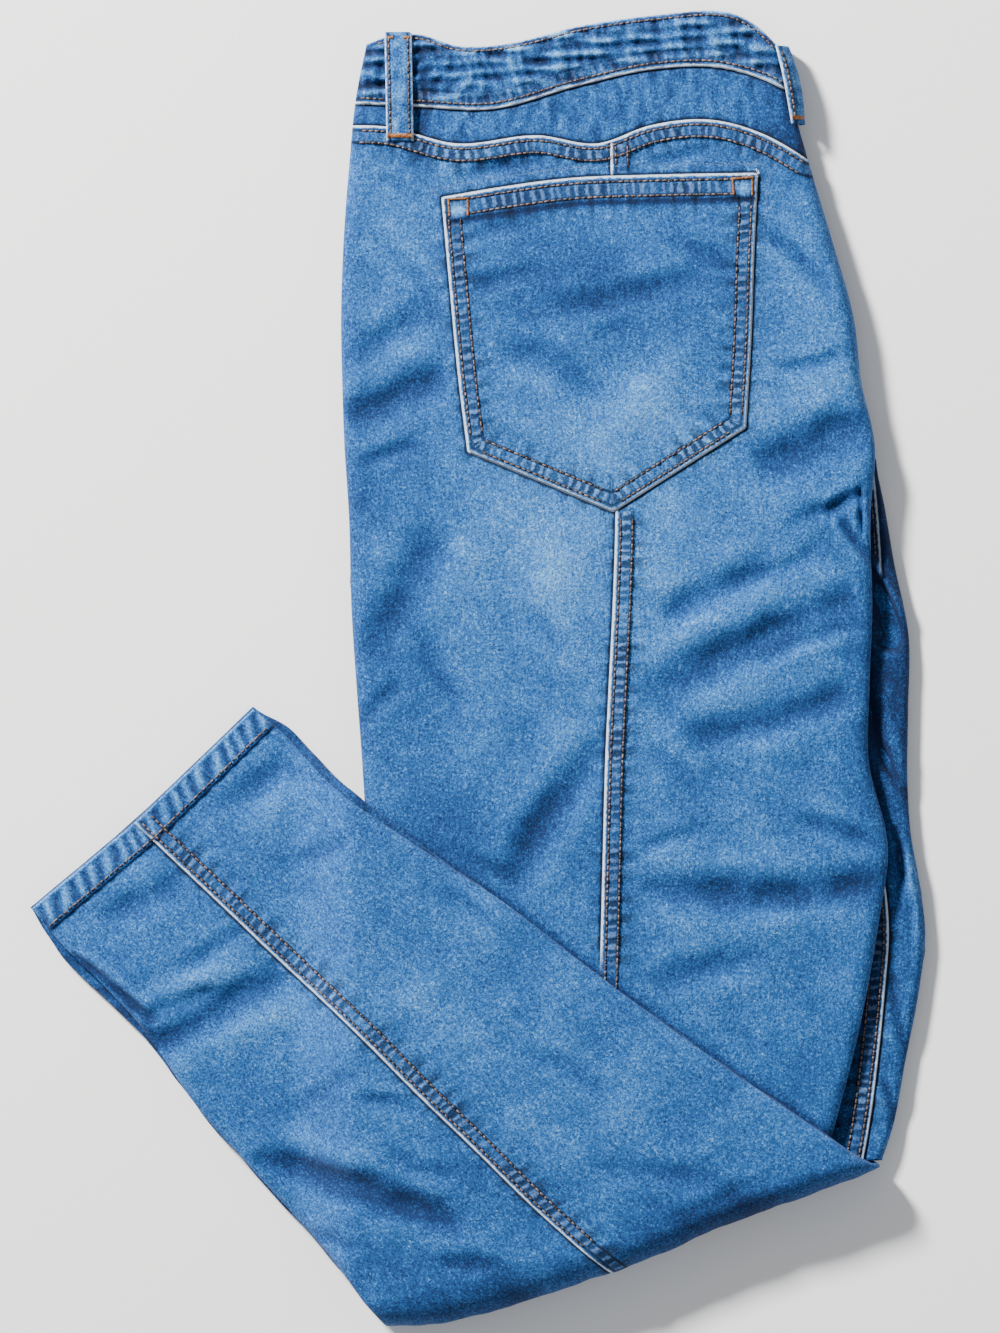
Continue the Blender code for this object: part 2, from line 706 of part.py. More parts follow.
def hidden_calf(grid, out):
    """Everything under the turned-up panels, down to the surface, but for the slot for the thigh."""
    outward = np.array([-CALF_ACROSS[1], CALF_ACROSS[0]])
    stations = calf_stations()
    knee_in = grid[-6, :, :2] - grid[-3, :, :2]
    knee_in /= np.linalg.norm(knee_in, axis=1, keepdims=True)
    step, floor = grid[-1].copy(), grid[-1].copy()
    step[:, :2] += 0.3 * knee_in
    step[:, 2] -= 0.6
    floor[:, :2] += KNEE_UNDER * knee_in
    floor[:, 2] = 0
    under_knee = np.stack([step, floor])
    top = np.concatenate([grid - out * (CLOTH + SEAM_GAP), under_knee])
    edges = np.concatenate([grid, under_knee])
    left, right = edges[:, 0], edges[:, -1]

    before_knee = len(stations)
    beyond = np.clip(np.arange(len(edges)) - before_knee + 1, 0, None)
    along = np.append(stations, np.full(len(edges) - before_knee, CALF_LENGTH))
    over = ease(right[:, 0], -98, -78) * (along < CALF_LENGTH)
    rest = (calf_under(right[:, 0]) + LIE_GAP) * over
    slot = SLOT_DEPTH * (1 - 0.6 * ease(right[:, 0], 120, 186))
    slot = CALF_LAYERS[-1][0] + (slot - CALF_LAYERS[-1][0]) * over

    def side(edge, way, base, peek, deep):
        """Layers down one edge, then the underside to the slot's end, then down to the surface."""
        points = []
        for k, (depth, share) in enumerate(CALF_LAYERS):
            if k in PEEKING_LAYERS:
                depth = depth - peek
            place = edge[:, :2] + way * np.outer(np.full(len(edge), 1.0) * depth, CALF_ACROSS)
            height = base + (edge[:, 2] - base) * share / PAIR_SHARE
            points.append(np.column_stack([place, height]))
        for extra, height in ((0.3, base + 0.06), (0.7, 0 * base)):
            place = edge[:, :2] + way * CALF_ACROSS * (deep + extra)[:, None]
            points.append(np.column_stack([place, height]))
        points = np.stack(points, axis=1)
        shares = np.linspace(0.04, 1, points.shape[1])[:, None]
        centre = points[before_knee - 1, -1]
        towards = np.append(edge[-1, :2] - centre[:2], 0)
        for row in range(before_knee, len(edge)):
            foot = centre + towards * 0.9 * beyond[row] / beyond[-1]
            points[row] = edge[row] + (foot - edge[row]) * shares
        return points

    flat = np.zeros(len(edges))
    left_side = side(left, 1, flat, PEEK.at("left", along), flat + CALF_LAYERS[-1][0])
    right_side = side(right, -1, rest, PEEK.at("right", along), slot)
    layers = CALF_LAYERS + ((2.3, 0.004), (2.7, 0.0))
    layers = [(depth - HEM_PROUD, share) for depth, share in layers]
    for k, (depth, _) in enumerate(layers):
        for points in (left_side, right_side):
            points[0, k, :2] -= outward * depth
    start = end_points(top[0], outward, layers, left_side[0], right_side[0])
    block = layered_block("turned_up_layers", top, left_side, right_side, start)
    cut_off(block, *KNEE_TIP_CUT)


def pocket():
    """The patch pocket, made from the panel's own height: four sides, a point below, a thick hem."""
    across = np.linspace(0, 1, 9)
    down = np.array([0, 0.09, 0.1, 0.3, 0.5, 0.7, 0.86, 1])
    left_y = 235.2 + (108.6 - 235.2) * down
    right_y = 247.3 + (120.4 - 247.3) * down
    left = np.stack([POCKET_LEFT.at("x", left_y), left_y], axis=1)
    right = np.stack([POCKET_RIGHT.at("x", right_y), right_y], axis=1)
    top_x = left[0, 0] + (right[0, 0] - left[0, 0]) * across
    top = np.stack([top_x, POCKET_TOP.at("y", top_x)], axis=1)
    lower = np.array([left[-1], POCKET_TIP, right[-1]])
    bottom = np.stack([np.interp(across, [0, 0.5, 1], lower[:, k]) for k in (0, 1)], axis=1)
    a, b = across[None, :, None], down[:, None, None]
    place = (1 - b) * top + b * bottom + (1 - a) * left[:, None] + a * right[:, None]
    place -= (1 - b) * ((1 - a) * left[0] + a * right[0]) + b * ((1 - a) * left[-1] + a * right[-1])
    under = np.dstack([place, thigh_top(place[..., 0], place[..., 1]) + LIE_GAP])
    outer = under.copy()
    outer[..., 2] += POCKET_WALL
    outer[:2, :, 2] += POCKET_HEM_RISE
    cloth("left_back_pocket", outer, under, DENIM)


def side_loop():
    """Belt loop left of the pocket: sewn flat at both ends, standing off the waistband between."""
    y = np.linspace(*SIDE_LOOP.rows[[0, -1], 0], 13)
    t = np.linspace(0, 1, len(y))
    x = SIDE_LOOP.at("x", y)[:, None] + LOOP_WIDTH * np.array([-0.5, 0, 0.5])
    y = np.repeat(y[:, None], 3, axis=1)
    lift = WAISTBAND_RISE + LIE_GAP + SIDE_LOOP_ARCH * np.sin(np.pi * t)[:, None] ** 0.7
    under = np.dstack([x, y, thigh_top(x, y) + lift])
    outer = under + [0, 0, LOOP_WALL]
    cloth("side_belt_loop", outer, under, DENIM_DEEP)


def centre_back_loop():
    """Belt loop on the centre back seam, wrapped round the fold and standing off it between its ends."""
    y = np.linspace(*CENTRE_LOOP_ENDS, 11)
    arch = CENTRE_LOOP_ARCH * np.sin(np.pi * np.linspace(0, 1, len(y)))
    turn = np.radians(np.linspace(*CENTRE_LOOP_TURN, 6))
    edge = THIGH.at("right", y)
    middle = THIGH_HEIGHT.at("top", y) / 2

    def wrap(offset):
        out = (WAISTBAND_RISE + LIE_GAP + 0.1 + arch + offset)[:, None]
        x = edge[:, None] - ROLL + (ROLL + out) * np.cos(turn)
        z = middle[:, None] + (middle[:, None] + out) * np.sin(turn)
        return np.dstack([x, np.repeat(y[:, None], len(turn), axis=1), z])

    cloth("centre_back_belt_loop", wrap(LOOP_WALL), wrap(0.0), DENIM_DEEP)


def build():
    for thing in list(bpy.data.objects):
        bpy.data.objects.remove(thing)
    thigh = thigh_grid()
    thigh_out = normals(thigh)
    left_leg(thigh, thigh_out)
    calf = calf_grid()
    calf_out = normals(calf, passes=1)
    turned_up_leg(calf, calf_out)
    right_thigh(thigh[:, -1, 1])
    pocket()
    side_loop()
    centre_back_loop()
    hidden_thigh(thigh, thigh_out)
    hidden_calf(calf, calf_out)


build()
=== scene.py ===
"""The looks of the folded skinny jeans: shells of washed denim with their seams, folds and stitches.

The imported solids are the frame. Every new piece is worked out in millimetres on the same drawn lines as
its solid, and becomes metres when its mesh is made. X runs from the outseam to the crotch side, Y from
the knee fold up to the waist, Z up out of the surface the jeans lie on.
"""

# %% [markdown]
# # Folded jeans, from drawn lines to worn denim
# The imported model is loaded first. It fixes where everything is, so each piece below only has to follow
# the same lines.

import bmesh
import bpy
import numpy as np
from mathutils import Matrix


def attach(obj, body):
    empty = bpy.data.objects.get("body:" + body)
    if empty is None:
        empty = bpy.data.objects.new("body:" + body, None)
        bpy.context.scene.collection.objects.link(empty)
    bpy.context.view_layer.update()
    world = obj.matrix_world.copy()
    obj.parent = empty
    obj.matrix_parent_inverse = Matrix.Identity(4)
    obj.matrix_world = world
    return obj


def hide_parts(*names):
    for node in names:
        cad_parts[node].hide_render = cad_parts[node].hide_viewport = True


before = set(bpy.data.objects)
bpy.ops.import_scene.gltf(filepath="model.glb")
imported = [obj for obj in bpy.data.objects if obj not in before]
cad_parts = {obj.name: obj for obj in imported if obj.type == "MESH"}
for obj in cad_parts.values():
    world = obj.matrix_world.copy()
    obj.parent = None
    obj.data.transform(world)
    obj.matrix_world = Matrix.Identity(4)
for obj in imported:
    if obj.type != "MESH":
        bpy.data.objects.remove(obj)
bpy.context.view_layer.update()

# %% [markdown]
# ## Camera, lights and floor
# Folded clothes are photographed from straight above, with one soft lamp at the upper left, so each seam
# throws a thin shadow down and to the right. A long lens keeps the thick knee fold from looking closer
# than the waist. The floor is plain and pale.

# %% Camera, lights and floor
MM = 0.001
VIEW_CENTRE = (10.86, 0.36)
VIEW_LONG_SIDE = 666.5
VIEW_PLANE = 15.0
LENS = 200.0
SENSOR = 36.0
SKY_STRENGTH = 0.4
FLOOR_HALF = 3.0
FLOOR_LOW = -0.0003


def put(name, data):
    """A new object in the scene."""
    thing = bpy.data.objects.new(name, data)
    bpy.context.scene.collection.objects.link(thing)
    return thing


def new_paint(name):
    """A material, its tree of nodes and its shader."""
    paint = bpy.data.materials.new(name)
    paint.use_nodes = True
    return paint, paint.node_tree, paint.node_tree.nodes["Principled BSDF"]


def softbox(name, place, size, power, colour):
    """A square lamp at a place, turned to the middle of the jeans."""
    lamp = bpy.data.lights.new(name, "AREA")
    lamp.size = size
    lamp.energy = power
    lamp.color = colour
    thing = put(name, lamp)
    thing.location = place
    thing.rotation_mode = "QUATERNION"
    thing.rotation_quaternion = thing.location.normalized().to_track_quat("Z", "Y")


camera = put("camera", bpy.data.cameras.new("camera"))
camera.data.lens = LENS
camera.data.sensor_width = SENSOR
camera_height = VIEW_PLANE + VIEW_LONG_SIDE * LENS / SENSOR
camera.location = (VIEW_CENTRE[0] * MM, VIEW_CENTRE[1] * MM, camera_height * MM)
bpy.context.scene.camera = camera

softbox("key_lamp", (-1.85, 2.0, 1.75), 0.45, 400.0, (1.0, 0.985, 0.96))
softbox("fill_lamp", (1.6, -1.2, 2.2), 2.4, 12.0, (0.95, 0.97, 1.0))

sky = bpy.data.worlds.new("studio")
sky.use_nodes = True
sky_light = sky.node_tree.nodes["Background"].inputs
sky_light["Color"].default_value = (0.93, 0.96, 1.0, 1.0)
sky_light["Strength"].default_value = SKY_STRENGTH
bpy.context.scene.world = sky

floor_mesh = bpy.data.meshes.new("floor")
far, low = FLOOR_HALF, FLOOR_LOW
corners = [(-far, -far, low), (far, -far, low), (far, far, low), (-far, far, low)]
floor_mesh.from_pydata(corners, [], [(0, 1, 2, 3)])
floor_paint, _, floor_shader = new_paint("floor_paint")
floor_shader.inputs["Base Color"].default_value = (0.92, 0.92, 0.92, 1.0)
floor_shader.inputs["Roughness"].default_value = 0.9
floor_mesh.materials.append(floor_paint)
put("floor", floor_mesh)
print("camera", round(camera_height), "mm up, lamps 2")

# %% [markdown]
# ## The drawn lines
# The jeans' edges and seams are drawn once, as rows of millimetres, and read as smooth curves. They are
# the same lines that the solids were made from. A cutter's pattern works in the same way: a few measured
# points, joined by a fair curve.

# %% Lines, heights and seams
MIDDLE = np.array([-0.11, 0.64, 0.0])
CLOTH = 1.1
LIE_GAP = 0.5
SEAM_BAND = 8.0
SEAM_RISE = 0.9
HEM_RISE = 1.2
HEM_DEPTH = 13.0
WAISTBAND_RISE = 1.0
CALF_STACK = 13.5
CALF_LENGTH = 300.0
THIGH_UNDER_CALF = 18.0
PAIR_SHARE = 0.74
RIGHT_THIGH_TOP = 8.6
RIGHT_THIGH_MIDDLE = 4.2
ROLL = 8.0
RIGHT_THIGH_ROLL = 5.0
TUCK = 6.5


def hermite(value, slope, step, i, t):
    """Cubic from row i to the next: each end's value and slope, blended by powers of t."""
    start = (2 * t**3 - 3 * t**2 + 1) * value[i] + (t**3 - 2 * t**2 + t) * step * slope[i]
    end = (3 * t**2 - 2 * t**3) * value[i + 1] + (t**3 - t**2) * step * slope[i + 1]
    return start + end


class Table:
    """Rows of numbers under named columns, read as a smooth curve by the first column."""

    def __init__(self, columns, *rows):
        self.columns = columns.split()
        self.rows = np.array(sorted(rows), float)

    def at(self, column, where):
        """Cubic through the rows, whose slope at a row is that of its neighbours."""
        key = self.rows[:, 0]
        value = self.rows[:, self.columns.index(column)]
        where = np.clip(where, key[0], key[-1])
        i = np.clip(np.searchsorted(key, where) - 1, 0, len(key) - 2)
        step = key[i + 1] - key[i]
        return hermite(value, np.gradient(value, key), step, i, (where - key[i]) / step)


THIGH = Table(
    "y left seam right",
    (312, -56.2, 66.0, 152.0),
    (285, -61.5, 66.2, 157.0),
    (255, -64.5, 66.6, 165.0),
    (215, -67.5, 67.5, 177.0),
    (175, -68.8, 68.0, 188.0),
    (142, -68.2, 68.4, 192.0),
    (115, -67.3, 68.8, 198.0),
    (75, -64.8, 69.0, 196.0),
    (30, -63.6, 67.6, 197.0),
    (-10, -61.0, 65.6, 195.6),
    (-45, -58.4, 64.0, 195.2),
    (-90, -55.6, 62.8, 204.8),
    (-130, -53.5, 61.8, 199.8),
    (-180, -51.0, 60.4, 190.6),
    (-245, -48.5, 59.0, 174.0),
)
THIGH_HEIGHT = Table(
    "y top",
    (330, 13.5),
    (300, 14.2),
    (262, 14.6),
    (215, 16.6),
    (140, 18.2),
    (60, 18.6),
    (-20, 17.6),
    (-70, 18.0),
    (-250, 18.0),
)
WAIST_TOP = Table(
    "x y",
    (-56, 312.5),
    (-46, 316.3),
    (-31, 317.5),
    (-10, 311.5),
    (11, 312.2),
    (51, 321.6),
    (98, 328.0),
    (115, 329.3),
    (128, 327.6),
    (140, 321.0),
    (152, 309.0),
)
WAIST_SEAM = Table(
    "x y",
    (-61, 283),
    (-31, 281.5),
    (7, 280.3),
    (50, 292),
    (90, 300.5),
    (122, 300.8),
    (144, 294.5),
    (155, 289),
)
YOKE_SEAM = Table(
    "x y",
    (-64, 271.2),
    (-46, 270.4),
    (-12, 262),
    (30, 266),
    (60, 262),
    (86, 271),
    (121, 273.2),
    (144, 266),
    (165, 254),
)
THIGH_END = Table(
    "x y",
    (-57, -84),
    (0, -124),
    (60, -167),
    (128, -212.5),
    (160, -230),
    (176, -236.5),
    (202, -240),
)
RIGHT_THIGH = Table(
    "y inseam outline",
    (115, 191.5, 198.9),
    (104, 190.5, 199.4),
    (79, 190.0, 204.0),
    (54, 191.0, 208.2),
    (17, 190.5, 215.6),
    (-21, 189.5, 215.4),
    (-60, 191.5, 215.2),
    (-83, 197.0, 216.8),
    (-108, 203.0, 221.2),
    (-133, 205.0, 224.0),
    (-158, 203.3, 221.4),
    (-196, 199.6, 214.2),
    (-233, 194.6, 206.8),
    (-246, 192.2, 202.4),
)
CALF = Table(
    "along left_x left_y seam_x seam_y right_x right_y",
    (0, -223.5, -120.0, -172.0, -77.0, -113.0, -20.5),
    (13, -215.0, -131.0, -162.0, -86.5, -102.5, -28.5),
    (60, -187.0, -159.5, -127.0, -119.5, -70.0, -61.0),
    (102, -166.0, -183.0, -96.0, -149.0, -32.0, -87.5),
    (145, -142.0, -218.0, -64.0, -178.0, 12.0, -116.0),
    (193, -113.0, -251.0, -29.0, -213.0, 60.0, -153.0),
    (232, -91.0, -275.0, -1.0, -240.0, 101.0, -183.0),
    (270, -71.0, -297.0, 28.0, -268.5, 145.0, -213.5),
    (300, -57.0, -316.0, 52.0, -290.0, 188.0, -242.5),
)
KNEE_FOLD = Table(
    "x y",
    (-46, -328.5),
    (-19, -327.5),
    (8, -321),
    (49, -308),
    (83, -296),
    (111, -283.5),
    (144, -271),
    (179, -258),
    (201, -249.5),
)
KNEE_ENDS = (-46.0, 67.0, 201.0)
print("drawn lines", 9)

# %% [markdown]
# ## Folds and unevenness
# Denim bends in long soft troughs with raised lips beside them, and no two are alike. Cloth simulation
# would put folds where it likes. Here each crease is listed instead: two ends, a bow, a half width
# and a depth, and the trough fades out at both ends. A slow random wave makes each one uneven.

# %% Creases listed one by one
FOLD_COLUMNS = "x0 y0 x1 y1 bow width depth".split()
THIGH_FOLDS = (
    (-66, 125, -14, 148, 0, 9.0, 2.2),
    (-66, 151, -22, 183, 0, 8.0, 1.2),
    (138, 100, 194, 125, 0, 12.0, 2.6),
    (92, 26, 148, 54, 0, 8.0, 1.6),
    (86, -13, 190, 35, 2, 10.0, 2.6),
    (104, -34, 192, -9, -4, 8.0, 1.8),
    (82, -109, 206, -107, -5, 9.0, 2.5),
    (14, -116, 63, -36, 4, 9.0, 2.0),
    (-56, 4, -17, 72, 0, 10.0, 1.4),
)
THIGH_CREASES = (
    (-54, 218, -19, 184, 1, 4.5, 0.9),
    (-62, 100, -30, 112, 1, 4.0, 0.8),
    (-60, -30, -38, -8, 2, 4.5, 0.9),
    (81, -91, 116, -80, 1, 4.0, 0.9),
    (86, -160, 145, -144, 3, 7.0, 1.3),
    (158, -75, 202, -91, 2, 5.0, 1.2),
    (-26, -90, 22, -107, 1, 5.0, 1.2),
    (141, 220, 178, 184, 3, 4.5, 1.3),
    (150, 150, 188, 160, -2, 4.0, 0.9),
    (174, 77, 192, 88, 1, 3.4, 2.4),
    (190.5, 92, 191.5, 66, 0, 1.6, 2.6),
    (180, 80, 201, 50, -2, 3.2, 2.4),
    (152, 70, 192, 84, 2, 4.0, 0.9),
    (120, 40, 170, 60, -2, 4.2, 0.8),
    (140, 2, 192, 22, 3, 4.0, 1.0),
    (-16, 243, 34, 255, 1, 3.6, 0.8),
    (84, 253, 118, 261, -1, 3.2, 0.8),
    (-50, 246, -26, 232, 1, 3.5, 0.7),
    (20, 30, 44, 8, 2, 6.0, 0.8),
    (-30, 20, -6, -20, -3, 6.0, 0.8),
    (84, -40, 112, -66, 2, 5.0, 0.8),
)
CALF_FOLDS = (
    (-170, -192, -98, -153, 0, 9.0, 2.4),
    (-112, -245, -8, -278, 3, 8.0, 3.2),
    (-128, -72, -94, -46, 0, 8.0, 1.5),
    (-190, -127, -147, -107, 0, 8.0, 1.5),
)
CALF_CREASES = (
    (-204, -143, -162, -178, 1, 2.4, 3.6),
    (-168, -176, -130, -160, 1, 5.0, 1.6),
    (-92, -282, -60, -290, 2, 4.0, 1.1),
    (-92, -222, -60, -203, 2, 5.0, 0.8),
    (-46, -242, -10, -252, -3, 5.0, 0.9),
    (-64, -214, -28, -222, 2, 4.0, 0.8),
    (-90, -98, -60, -84, 1, 5.0, 0.9),
    (-150, -150, -118, -128, -2, 5.0, 0.8),
    (-20, -296, 30, -306, 3, 5.0, 1.2),
    (60, -250, 130, -262, 5, 6.0, 1.0),
    (20, -190, 66, -214, 3, 5.0, 0.8),
    (70, -282, 150, -250, -4, 5.0, 1.0),
    (-20, -110, 22, -140, 2, 4.5, 0.7),
)
POCKET_CREASES = (
    (-6, 189, 34, 200, 1, 5.0, 0.9),
    (34, 180, 112, 197, -3, 6.5, 1.3),
    (56, 167, 82, 170, 1, 4.5, 0.5),
    (61, 119, 121, 169, -4, 14.0, -0.6),
    (8, 160, 62, 138, 4, 8.0, 1.1),
    (96, 214, 132, 196, 2, 5.0, 0.9),
    (-12, 214, 24, 222, 1, 4.0, 0.8),
    (92, 128, 126, 122, 2, 4.0, 0.7),
    (10, 118, 34, 106, 1, 4.0, 0.6),
)


def ease(value, start, end):
    """0 before start, 1 after end, and a smooth S between."""
    t = np.clip((value - start) / (end - start), 0, 1)
    return t * t * (3 - 2 * t)


def bell(value, centre, width):
    """1 at the centre, fading to 0 on both sides: e to the minus square of the distance in widths."""
    return np.exp(-(((value - centre) / width) ** 2))


UNEVEN_WAVES = 14


def uneven(x, y, size, seed):
    """Smooth random value, mostly -1 to 1: waves about size mm long, in directions drawn from the seed."""
    draw = np.random.default_rng(seed)
    angle = draw.uniform(0, 2 * np.pi, UNEVEN_WAVES)
    turns = 2 * np.pi / (size * draw.uniform(0.7, 1.7, UNEVEN_WAVES))
    shift = draw.uniform(0, 2 * np.pi, UNEVEN_WAVES)
    x, y = np.asarray(x)[..., None], np.asarray(y)[..., None]
    phase = (x * np.cos(angle) + y * np.sin(angle)) * turns + shift
    return np.sin(phase).sum(axis=-1) / np.sqrt(UNEVEN_WAVES)


FOLD_GAIN = 1.35
FOLD_NARROW = 0.85
FOLD_LIP = 0.3
LIP_AT = 1.9


CREASE_VARIES = 0.25
CREASE_PATCH = 28.0


def creases(table, x, y):
    """Height that the creases add: each a trough with soft lips, deepest half way along, and uneven."""
    total = np.zeros(np.shape(x))
    vary = 1 + CREASE_VARIES * uneven(x, y, CREASE_PATCH, 3)
    for row in table:
        fold = dict(zip(FOLD_COLUMNS, row))
        run = np.array([fold["x1"] - fold["x0"], fold["y1"] - fold["y0"]])
        length = np.hypot(*run)
        along = ((x - fold["x0"]) * run[0] + (y - fold["y0"]) * run[1]) / length**2
        aside = ((y - fold["y0"]) * run[0] - (x - fold["x0"]) * run[1]) / length
        middle = np.clip(4 * along * (1 - along), 0, 1)
        across = np.abs(aside - fold["bow"] * middle) / (FOLD_NARROW * fold["width"])
        shape = bell(across, 0, 1) - FOLD_LIP * bell(across, LIP_AT, 1)
        total -= fold["depth"] * np.sqrt(middle) * shape * vary
    return FOLD_GAIN * total


def rim_lift(distance, radius):
    """Share of the full height, distance mm in from a round edge: a quarter circle, then level."""
    return np.sqrt(1 - (1 - np.clip(distance / radius, 0, 1)) ** 2)


BROAD_RISE, BROAD_SIZE = 0.3, 34.0
FINE_RISE, FINE_SIZE = 0.12, 13.0


def rough(x, y, seed):
    """Low bumps that lie everywhere: one long random wave and one short."""
    return BROAD_RISE * uneven(x, y, BROAD_SIZE, seed) + FINE_RISE * uneven(x, y, FINE_SIZE, seed + 1)


print("creases", len(THIGH_CREASES) + len(CALF_CREASES) + len(POCKET_CREASES))

# %% [markdown]
# ## Seams
# A flat-felled jeans seam is one piece lapped 8 mm over the next, sewn twice. The lap stands proud, its
# lip is round, each stitch row pulls a groove, and the cloth puckers between the rows. So a point needs
# two numbers: how far it is inside the lap's edge, and how far along it. Both are measured to a path.

# %% Distance to a seam, and its height
LAP = 0.5
STITCH_IN = 2.1
STITCH_OUT = 8.0
GROOVE = 0.28
PUCKER = 0.26
PUCKER_LENGTH = 9.3
DIP = 0.7


def nearest(path, x, y):
    """Signed distance to a path, positive on its left, and the length along the path to that place."""
    run = np.diff(path, axis=0)
    length = np.hypot(run[:, 0], run[:, 1])
    reached = np.concatenate([[0.0], np.cumsum(length)])
    distance = np.full(np.shape(x), 1e6)
    along = np.zeros(np.shape(x))
    for k, (start, step) in enumerate(zip(path[:-1], run)):
        ahead = ((x - start[0]) * step[0] + (y - start[1]) * step[1]) / length[k] ** 2
        t = np.clip(ahead, 0, 1)
        dx, dy = x - start[0] - t * step[0], y - start[1] - t * step[1]
        gap = np.hypot(dx, dy)
        side = np.where(step[0] * dy - step[1] * dx >= 0, 1.0, -1.0)
        closer = gap < np.abs(distance)
        distance = np.where(closer, gap * side, distance)
        along = np.where(closer, reached[k] + t * length[k], along)
    return distance, along


LIP_FOOT = 0.35
LIP_ROUND = 1.1


def lapped(distance, along):
    """Height over plain cloth: lip, two grooves with puckers between, step down; a dip outside."""
    inside = distance + LAP
    band = 1 - ease(inside, SEAM_BAND + 0.4, SEAM_BAND + 1.9)
    level = SEAM_RISE * (LIP_FOOT + (1 - LIP_FOOT) * rim_lift(inside, LIP_ROUND)) * band
    pucker = PUCKER * np.sin(along * 2 * np.pi / PUCKER_LENGTH + 1.5 * np.sin(along / 17.0))
    level += pucker * ease(inside, 1.5, 4) * (1 - ease(inside, SEAM_BAND, SEAM_BAND + 8))
    level -= GROOVE * bell(distance, STITCH_IN, 0.55)
    level -= GROOVE * bell(distance, STITCH_OUT, 0.6)
    dip = -DIP * (1 - ease(-distance, 0.6, 2.6)) - 0.12 * (1 - ease(-distance, 2, 7))
    return np.where(distance > -LAP - 1e-6, level, dip)


def path_of(table, keys, column, key_first=True):
    """A drawn line as a path of points, in the order of its keys."""
    keys = np.asarray(keys, float)
    values = table.at(column, keys)
    return np.column_stack([keys, values] if key_first else [values, keys])


BACK_SEAM = path_of(THIGH, np.arange(262, -190, -6), "seam", key_first=False)
YOKE_LINE = path_of(YOKE_SEAM, np.arange(172, -73, -4), "y")
WAIST_LINE = path_of(WAIST_SEAM, np.arange(-68, 165, 4), "y")
WAIST_EDGE = path_of(WAIST_TOP, np.arange(158, -62, -4), "y")
print("seam paths of", len(BACK_SEAM) + len(YOKE_LINE) + len(WAIST_LINE), "points")

# %% [markdown]
# ## Grids of cloth
# Every piece is a grid of points, rows down the cloth and columns across it. Columns crowd together at
# the round edges and the seams, where the form changes fast. A piece's wall is a second grid a
# millimetre inside, joined round the border, so the shell is closed. The lengths run along the grid
# become the UV map, so the weave keeps its size where the cloth bends.

# %% Grids, shells and their wear
ROLL_TURNS = np.radians(np.linspace(0, 90, 9))
ROLL_IN = ROLL * (1 - np.cos(ROLL_TURNS))
SEAM_IN = np.array([-LAP, -0.2, 0.15, 0.6, 1.1, 1.6, 2.1, 2.6, 3.3, 4.3, 5.3, 6.3, 7.0, 7.5, 8.0, 8.5])
SEAM_IN = np.concatenate([SEAM_IN, [9.1, 9.9, 10.9]])
SEAM_OUT = np.array([5.0, 3.8, 2.8, 2.0, 1.3, 0.7, 0.2, -0.2])


def columns(first, count, last):
    """Distances a + b * width across a piece: set from its start, even, then set to its end."""
    t = np.linspace(0, 1, count + 2)[1:-1]
    a = np.concatenate([first, first[-1] * (1 - t) - last[0] * t, -np.asarray(last)])
    b = np.concatenate([0 * first, t, np.ones(len(last))])
    return a, b


def face_out(grid, passes):
    """Unit vectors out of a grid: down its rows crossed with across its columns, then smoothed."""
    out = np.cross(np.gradient(grid, axis=0), np.gradient(grid, axis=1))
    out /= np.linalg.norm(out, axis=2, keepdims=True) + 1e-12
    for _ in range(passes):
        wide = np.pad(out, ((1, 1), (1, 1), (0, 0)), mode="edge")
        out = out * 2 + wide[:-2, 1:-1] + wide[2:, 1:-1] + wide[1:-1, :-2] + wide[1:-1, 2:]
        out /= np.linalg.norm(out, axis=2, keepdims=True)
    return out


def grid_faces(rows, width, first=0, turned=False):
    """Quads of a grid whose points are numbered row by row from first."""
    index = first + np.arange(rows * width).reshape(rows, width)
    corners = [index[:-1, :-1], index[1:, :-1], index[1:, 1:], index[:-1, 1:]]
    return np.stack(corners[::-1] if turned else corners, axis=-1).reshape(-1, 4)


def add_mesh(name, points, faces, paint, uv=None, marks=None):
    """An object at the origin from points in mm, with a UV map and named values at its points."""
    mesh = bpy.data.meshes.new(name)
    mesh.from_pydata((np.asarray(points) - MIDDLE) * MM, [], faces)
    corner = np.empty(len(mesh.loops), np.int32)
    mesh.loops.foreach_get("vertex_index", corner)
    if uv is not None:
        layer = mesh.uv_layers.new(name="cloth")
        layer.data.foreach_set("uv", (uv * MM)[corner].astype(np.float32).ravel())
    for mark, values in (marks or {}).items():
        kind = "FLOAT" if values.ndim == 1 else "FLOAT_VECTOR"
        layer = mesh.attributes.new(mark, kind, "POINT")
        target = "value" if values.ndim == 1 else "vector"
        layer.data.foreach_set(target, values.astype(np.float32).ravel())
    mesh.shade_smooth()
    mesh.materials.append(paint)
    piece = put(name, mesh)
    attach(piece, "root")
    return piece


def cloth_lengths(grid):
    """Millimetres of cloth run across and down to each point."""
    across = np.linalg.norm(np.diff(grid, axis=1, prepend=grid[:, :1]), axis=2).cumsum(axis=1)
    down = np.linalg.norm(np.diff(grid, axis=0, prepend=grid[:1]), axis=2).cumsum(axis=0)
    return across, down


